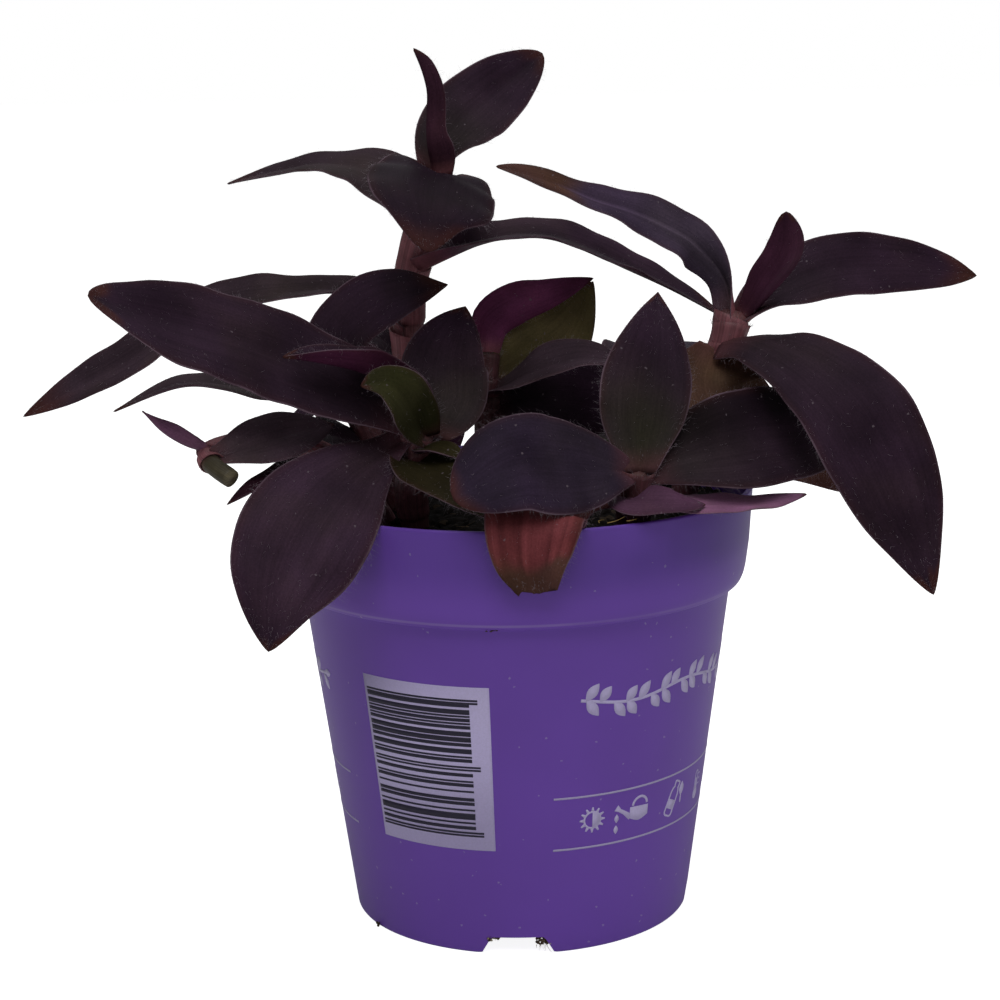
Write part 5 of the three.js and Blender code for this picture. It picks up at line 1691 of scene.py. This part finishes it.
class PLANT_OT_soil(bpy.types.Operator):
    """Builds the soil with its grains, crumbs, straws and root tufts"""

    bl_idname = "plant.make_soil"
    bl_label = "Soil"

    def execute(self, context):
        looks = context.scene.plant_soil
        rng = np.random.default_rng(looks.seed)
        bed = FLOOR_RISE + FLOOR_THICKNESS + SOIL_LOW_GAP
        pad = PAD_RADIUS - PAD_STEP - 0.5
        step = [(height, SOIL_LOW_GAP) for height in (WALL_STEP_BOTTOM, WALL_STEP_TOP)]
        wall = [(bed, 0), *step, (COLLAR_MIDDLE, 0)]
        wall = [(wall_radius(z) - SOIL_SIDE_GAP, z + gap) for z, gap in wall]
        foot = FLOOR_THICKNESS + SOIL_LOW_GAP
        low = np.array([(pad, foot), (PAD_RADIUS - 0.5, bed), *wall])
        turn = np.linspace(0, 2 * math.pi, SOIL_SIDES, endpoint=False)
        edge = wall_radius(SOIL_EDGE) - SOIL_SIDE_GAP
        radii = edge * np.linspace(1, 0.004, SOIL_RINGS) ** 0.85
        around = np.stack([np.cos(turn), np.sin(turn)], -1)
        top = np.pad(radii[:, None, None] * around, ((0, 0), (0, 0), (0, 1)))
        top[..., 2] = soil_top(top, rng, GRAINS, looks.grain_size / MM)
        under = np.concatenate([
            low[:, None, :1] * around, np.broadcast_to(low[:, None, 1:], (len(low), SOIL_SIDES, 1))
        ], -1)
        centre = (0, 0, top[-1, :, 2].mean())
        shell = Shell()
        shell.add(*skin(np.concatenate([under, top]), (0, 0, foot), centre))
        self.litter(shell, rng, looks)
        material = soil_material(looks)
        straw = toned_material("straw", 0.8, 0.25)
        settle(shell.mesh("soil_surface", [material, straw]), "soil", "soil")
        return {"FINISHED"}

    def litter(self, shell, rng, looks):
        """Adds loose crumbs and straws on the soil, and root tufts with specks at the front drain holes."""
        reach = wall_radius(SOIL_EDGE) - SOIL_SIDE_GAP - 1.4
        spots, height = self.strewn(rng, reach, CRUMBS)
        sizes = rng.uniform(0.25, 1.0, CRUMBS) ** 1.6 * 1.25
        centres = np.column_stack([spots, height + 0.45 * sizes + rng.uniform(0, 0.35, CRUMBS)])
        shell.add(*lumps(centres, sizes, rng))
        spots, height = self.strewn(rng, reach, STRAWS)
        ways = unit(rng.normal(size=(STRAWS, 3)) * (1, 1, 0.16))
        bends = rng.normal(size=(STRAWS, 3)) * (0.35, 0.35, 0.12)
        lengths = rng.uniform(1.5, 7.5, STRAWS)
        away = np.linalg.norm(spots + ways[:, :2] * lengths[:, None], axis=1)
        lengths = np.where(away > reach, 1.6, lengths)
        starts = np.column_stack([spots, height + 0.5 + rng.uniform(0, 0.5, STRAWS)])
        radii = rng.uniform(0.07, 0.22, STRAWS)
        points, faces = fibres(starts, ways, bends, lengths, radii, STRAW_ROWS, STRAW_SIDES)
        shade = np.repeat(rng.uniform(0.12, 0.7, STRAWS), STRAW_ROWS * STRAW_SIDES)[:, None]
        shell.add(points, faces, np.array(looks.fibre_colour) * shade, slot=1)
        for turn in (NOTCH_TURN - DRAIN_ANGLE, NOTCH_TURN + DRAIN_ANGLE):
            x, y = DRAIN_CIRCLE * math.sin(math.radians(turn)), -DRAIN_CIRCLE * math.cos(math.radians(turn))
            spots = rng.normal((x, y), 0.55, (TUFT_CRUMBS, 2))
            spots = np.column_stack([spots, rng.uniform(1.0, 5.2, TUFT_CRUMBS)])
            shell.add(*lumps(spots, rng.uniform(0.15, 0.62, TUFT_CRUMBS), rng))
            ways = unit(rng.normal(size=(TUFT_ROOTS, 3)) * (0.6, 0.6, 0.3) - (0, 0.2, 0.8))
            self.roots(shell, rng, spots[:TUFT_ROOTS], ways, looks.fibre_colour)
        for centre, half, count, largest in DIRT:
            self.dirt(shell, rng, centre, half, count, largest)
        for centre, half, _, _ in DIRT[:2]:
            pale = self.spots(rng, centre, half, PALE_CRUMBS) + (0.7 * np.sign(centre[0]), -0.2, 0)
            shell.add(*lumps(pale, rng.uniform(0.15, 0.32, PALE_CRUMBS), rng), PALE_TONE, slot=1)
        starts = self.spots(rng, DIRT[1][0], DIRT[1][1], TUFT_ROOTS) - (0, 0.2, 0.4)
        ways = unit(rng.normal(size=(TUFT_ROOTS, 3)) * (0.4, 0.2, 0.2) - (0, 0, 1))
        self.roots(shell, rng, starts, ways, looks.fibre_colour)
        starts, ways, bends = (np.array(part, float) for part in RIM_STRAW)
        points, faces = fibres(starts, ways, bends, RIM_STRAW_LENGTHS, RIM_STRAW_RADII, 8, STRAW_SIDES)
        shell.add(points, faces, RIM_STRAW_TONE, slot=1)

    def strewn(self, rng, reach, count):
        """Places drawn evenly from the soil's round top, with the mound's height there."""
        spots = reach * np.sqrt(rng.random((count, 1))) * unit(rng.normal(size=(count, 2)))
        return spots, mound(np.linalg.norm(spots, axis=1) / reach)

    def spots(self, rng, centre, half, count):
        """Places drawn evenly from a small box."""
        return np.array(centre) + rng.uniform(-1, 1, (count, 3)) * half

    def dirt(self, shell, rng, centre, half, count, largest):
        """Adds a few crumbs of soil that cling to the pot."""
        places = self.spots(rng, centre, half, count)
        points, faces = lumps(places, rng.uniform(0.4, 1, count) * largest, rng)
        shell.add(points, faces, DIRT_TONE, slot=1)

    def roots(self, shell, rng, starts, ways, tone):
        """Adds short hanging roots that stay above the ground."""
        count = len(starts)
        lengths = rng.uniform(0.45, 1.2, count)
        points, faces = fibres(
            starts, ways, 0.5 * rng.normal(size=(count, 3)), lengths, rng.uniform(0.04, 0.1, count), 5, 4,
        )
        points[:, 2] = np.maximum(points[:, 2], ROOTS_LOWEST)
        shell.add(points, faces, np.array(tone), slot=1)


class PLANT_OT_shoots(bpy.types.Operator):
    """Builds every leafy shoot: its stem, its sheaths and its folded leaves"""

    bl_idname = "plant.make_shoots"
    bl_label = "Shoots"

    def execute(self, context):
        looks = context.scene.plant_leaf
        materials = [leaf_material(looks), stem_material()]
        for index, (name, shoot) in enumerate(SHOOTS.items()):
            shell = Shell()
            stem = stem_shell(shell, shoot, looks)
            for order, (leaf, row) in enumerate(zip(shoot["leaves"], stem[-1])):
                own = np.random.default_rng((looks.seed, index, order))
                leaf_shell(shell, leaf, looks.thickness / MM, own, looks)
                sheath_shell(shell, stem[:-1], row, leaf, order, shoot.get("painted_dim", 1), looks)
            settle(shell.mesh(name + "_leaves", materials), "leaf", name)
        return {"FINISHED"}


class PLANT_OT_hairs(bpy.types.Operator):
    """Builds the fine pale hairs on the leaves' edges and faces and on the sheaths"""

    bl_idname = "plant.make_hairs"
    bl_label = "Hairs"

    def execute(self, context):
        looks, own = context.scene.plant_leaf, context.scene.plant_hair
        material = toned_material("hair", 0.5, 0.5)
        for index, (name, shoot) in enumerate(SHOOTS.items()):
            rng = np.random.default_rng((own.seed, index))
            stem = stem_shell(Shell(), shoot, looks)
            made = []
            for order, (leaf, row) in enumerate(zip(shoot["leaves"], stem[-1])):
                again = np.random.default_rng((looks.seed, index, order))
                grid = leaf_shell(Shell(), leaf, looks.thickness / MM, again, looks)
                made.append(leaf_hairs(grid, leaf, rng, looks))
                cuff = sheath_shell(Shell(), stem[:-1], row, leaf, order, 1, looks)
                made.append(sheath_hairs(*cuff, rng))
            starts, ways, bends, lengths, radii = (np.concatenate(part) for part in zip(*made))
            shell = Shell()
            shell.add(*fibres(starts, ways, bends, lengths, radii), tuple(own.hair_colour))
            settle(shell.mesh(name + "_hairs", [material]), "leaf")
        return {"FINISHED"}


# Stage

class PLANT_OT_stage(bpy.types.Operator):
    """Builds the floor, the lights, the room light and the camera"""

    bl_idname = "plant.make_stage"
    bl_label = "Stage"

    def execute(self, context):
        scene, looks = context.scene, context.scene.plant_stage
        material, nodes, shader, _ = start_material("floor", **{
            "Base Color": rgba(looks.floor_colour), "Roughness": 0.9, "Specular IOR Level": 0.1,
            "Emission Color": (1, 1, 1, 1),
        })
        seen = nodes.put("ShaderNodeLightPath").outputs["Is Camera Ray"]
        nodes.join(nodes.math("MULTIPLY", seen, FLOOR_GLOW), shader, "Emission Strength")
        floor = bpy.data.meshes.new("floor")
        corners = [(x * FLOOR_REACH, y * FLOOR_REACH, 0) for x, y in ((-1, -1), (1, -1), (1, 1), (-1, 1))]
        floor.from_pydata(corners, [], [(0, 1, 2, 3)])
        floor.materials.append(material)
        ground = bpy.data.objects.new("floor", floor)
        scene.collection.objects.link(ground)
        for name, power, size, place in LIGHTS:
            self.light(name, getattr(looks, power), size, place)
        self.room(scene, looks.room)
        self.camera(scene)
        scene.view_settings.view_transform = "Standard"
        scene.view_settings.look = "None"
        return {"FINISHED"}

    def light(self, name, power, size, place):
        """A soft square light that faces the middle of the plant."""
        lamp = bpy.data.lights.new(name, "AREA")
        lamp.energy, lamp.size = power, size
        body = bpy.data.objects.new(name, lamp)
        bpy.context.scene.collection.objects.link(body)
        at = np.array(place)
        back = unit(at - np.array(LIGHTS_AIM))
        right = unit(np.cross((0, 0, 1) if abs(back[2]) < 0.98 else (0, 1, 0), back))
        turned = np.column_stack([right, np.cross(back, right), back])
        body.matrix_world = Matrix.Translation(at.tolist()) @ Matrix(turned.tolist()).to_4x4()

    def room(self, scene, strength):
        """White to the camera, and dim even light for all else."""
        world = bpy.data.worlds.new("room")
        world.use_nodes = True
        nodes = Nodes(world.node_tree)
        world.node_tree.nodes.clear()
        seen = nodes.put("ShaderNodeLightPath").outputs["Is Camera Ray"]
        power = nodes.math("MAXIMUM", seen, strength)
        sky = nodes.put("ShaderNodeBackground", {"Color": (1, 1, 1, 1), "Strength": power})
        out = nodes.put("ShaderNodeOutputWorld")
        world.node_tree.links.new(sky.outputs[0], out.inputs[0])
        scene.world = world

    def camera(self, scene):
        """The photograph's own view of the plant."""
        pitch, roll = math.radians(CAMERA_PITCH), math.radians(CAMERA_ROLL)
        ahead = np.array([0, math.cos(pitch), -math.sin(pitch)])
        right = np.array([1.0, 0, 0])
        up = np.cross(right, ahead)
        across = math.cos(roll) * right - math.sin(roll) * up
        upward = math.sin(roll) * right + math.cos(roll) * up
        place = (np.array(CAMERA_AIM) - CAMERA_DISTANCE * ahead) * MM
        optics = bpy.data.cameras.new("camera")
        optics.lens, optics.sensor_width, optics.clip_start = CAMERA_LENS, SENSOR, 0.01
        body = bpy.data.objects.new("camera", optics)
        scene.collection.objects.link(body)
        turned = Matrix(np.column_stack([across, upward, -ahead]).tolist()).to_4x4()
        body.matrix_world = Matrix.Translation(place.tolist()) @ turned
        scene.camera = body


class PLANT_PT_panel(bpy.types.Panel):
    """Lists the plant's pieces and their settings"""

    bl_idname = "PLANT_PT_panel"
    bl_label = "Purple heart plant"
    bl_space_type = "VIEW_3D"
    bl_region_type = "UI"
    bl_category = "Plant"

    def draw(self, context):
        for operator in OPERATORS:
            self.layout.operator(operator.bl_idname)
        for name in SETTINGS:
            box = self.layout.box()
            owner = getattr(context.scene, name)
            for key in owner.bl_rna.properties.keys():
                if key not in ("rna_type", "name"):
                    box.prop(owner, key)


SETTINGS = {
    "plant_pot": PlantPotLooks,
    "plant_leaf": PlantLeafLooks,
    "plant_hair": PlantHairLooks,
    "plant_soil": PlantSoilLooks,
    "plant_stage": PlantStageLooks,
}
OPERATORS = (
    PLANT_OT_pot, PLANT_OT_printing, PLANT_OT_soil, PLANT_OT_shoots, PLANT_OT_hairs, PLANT_OT_stage,
)


def register():
    """Registers the settings, the operators and the panel."""
    for kind in (*SETTINGS.values(), *OPERATORS, PLANT_PT_panel):
        bpy.utils.register_class(kind)
    for name, kind in SETTINGS.items():
        setattr(bpy.types.Scene, name, bpy.props.PointerProperty(type=kind))


def unregister():
    """Takes them all away again."""
    for name in SETTINGS:
        delattr(bpy.types.Scene, name)
    for kind in (PLANT_PT_panel, *reversed(OPERATORS), *reversed(SETTINGS.values())):
        bpy.utils.unregister_class(kind)


def main():
    """Builds every piece in order."""
    register()
    bpy.ops.plant.make_pot()
    bpy.ops.plant.make_printing()
    bpy.ops.plant.make_soil()
    bpy.ops.plant.make_shoots()
    bpy.ops.plant.make_hairs()
    bpy.ops.plant.make_stage()


if __name__ == "__main__":
    main()
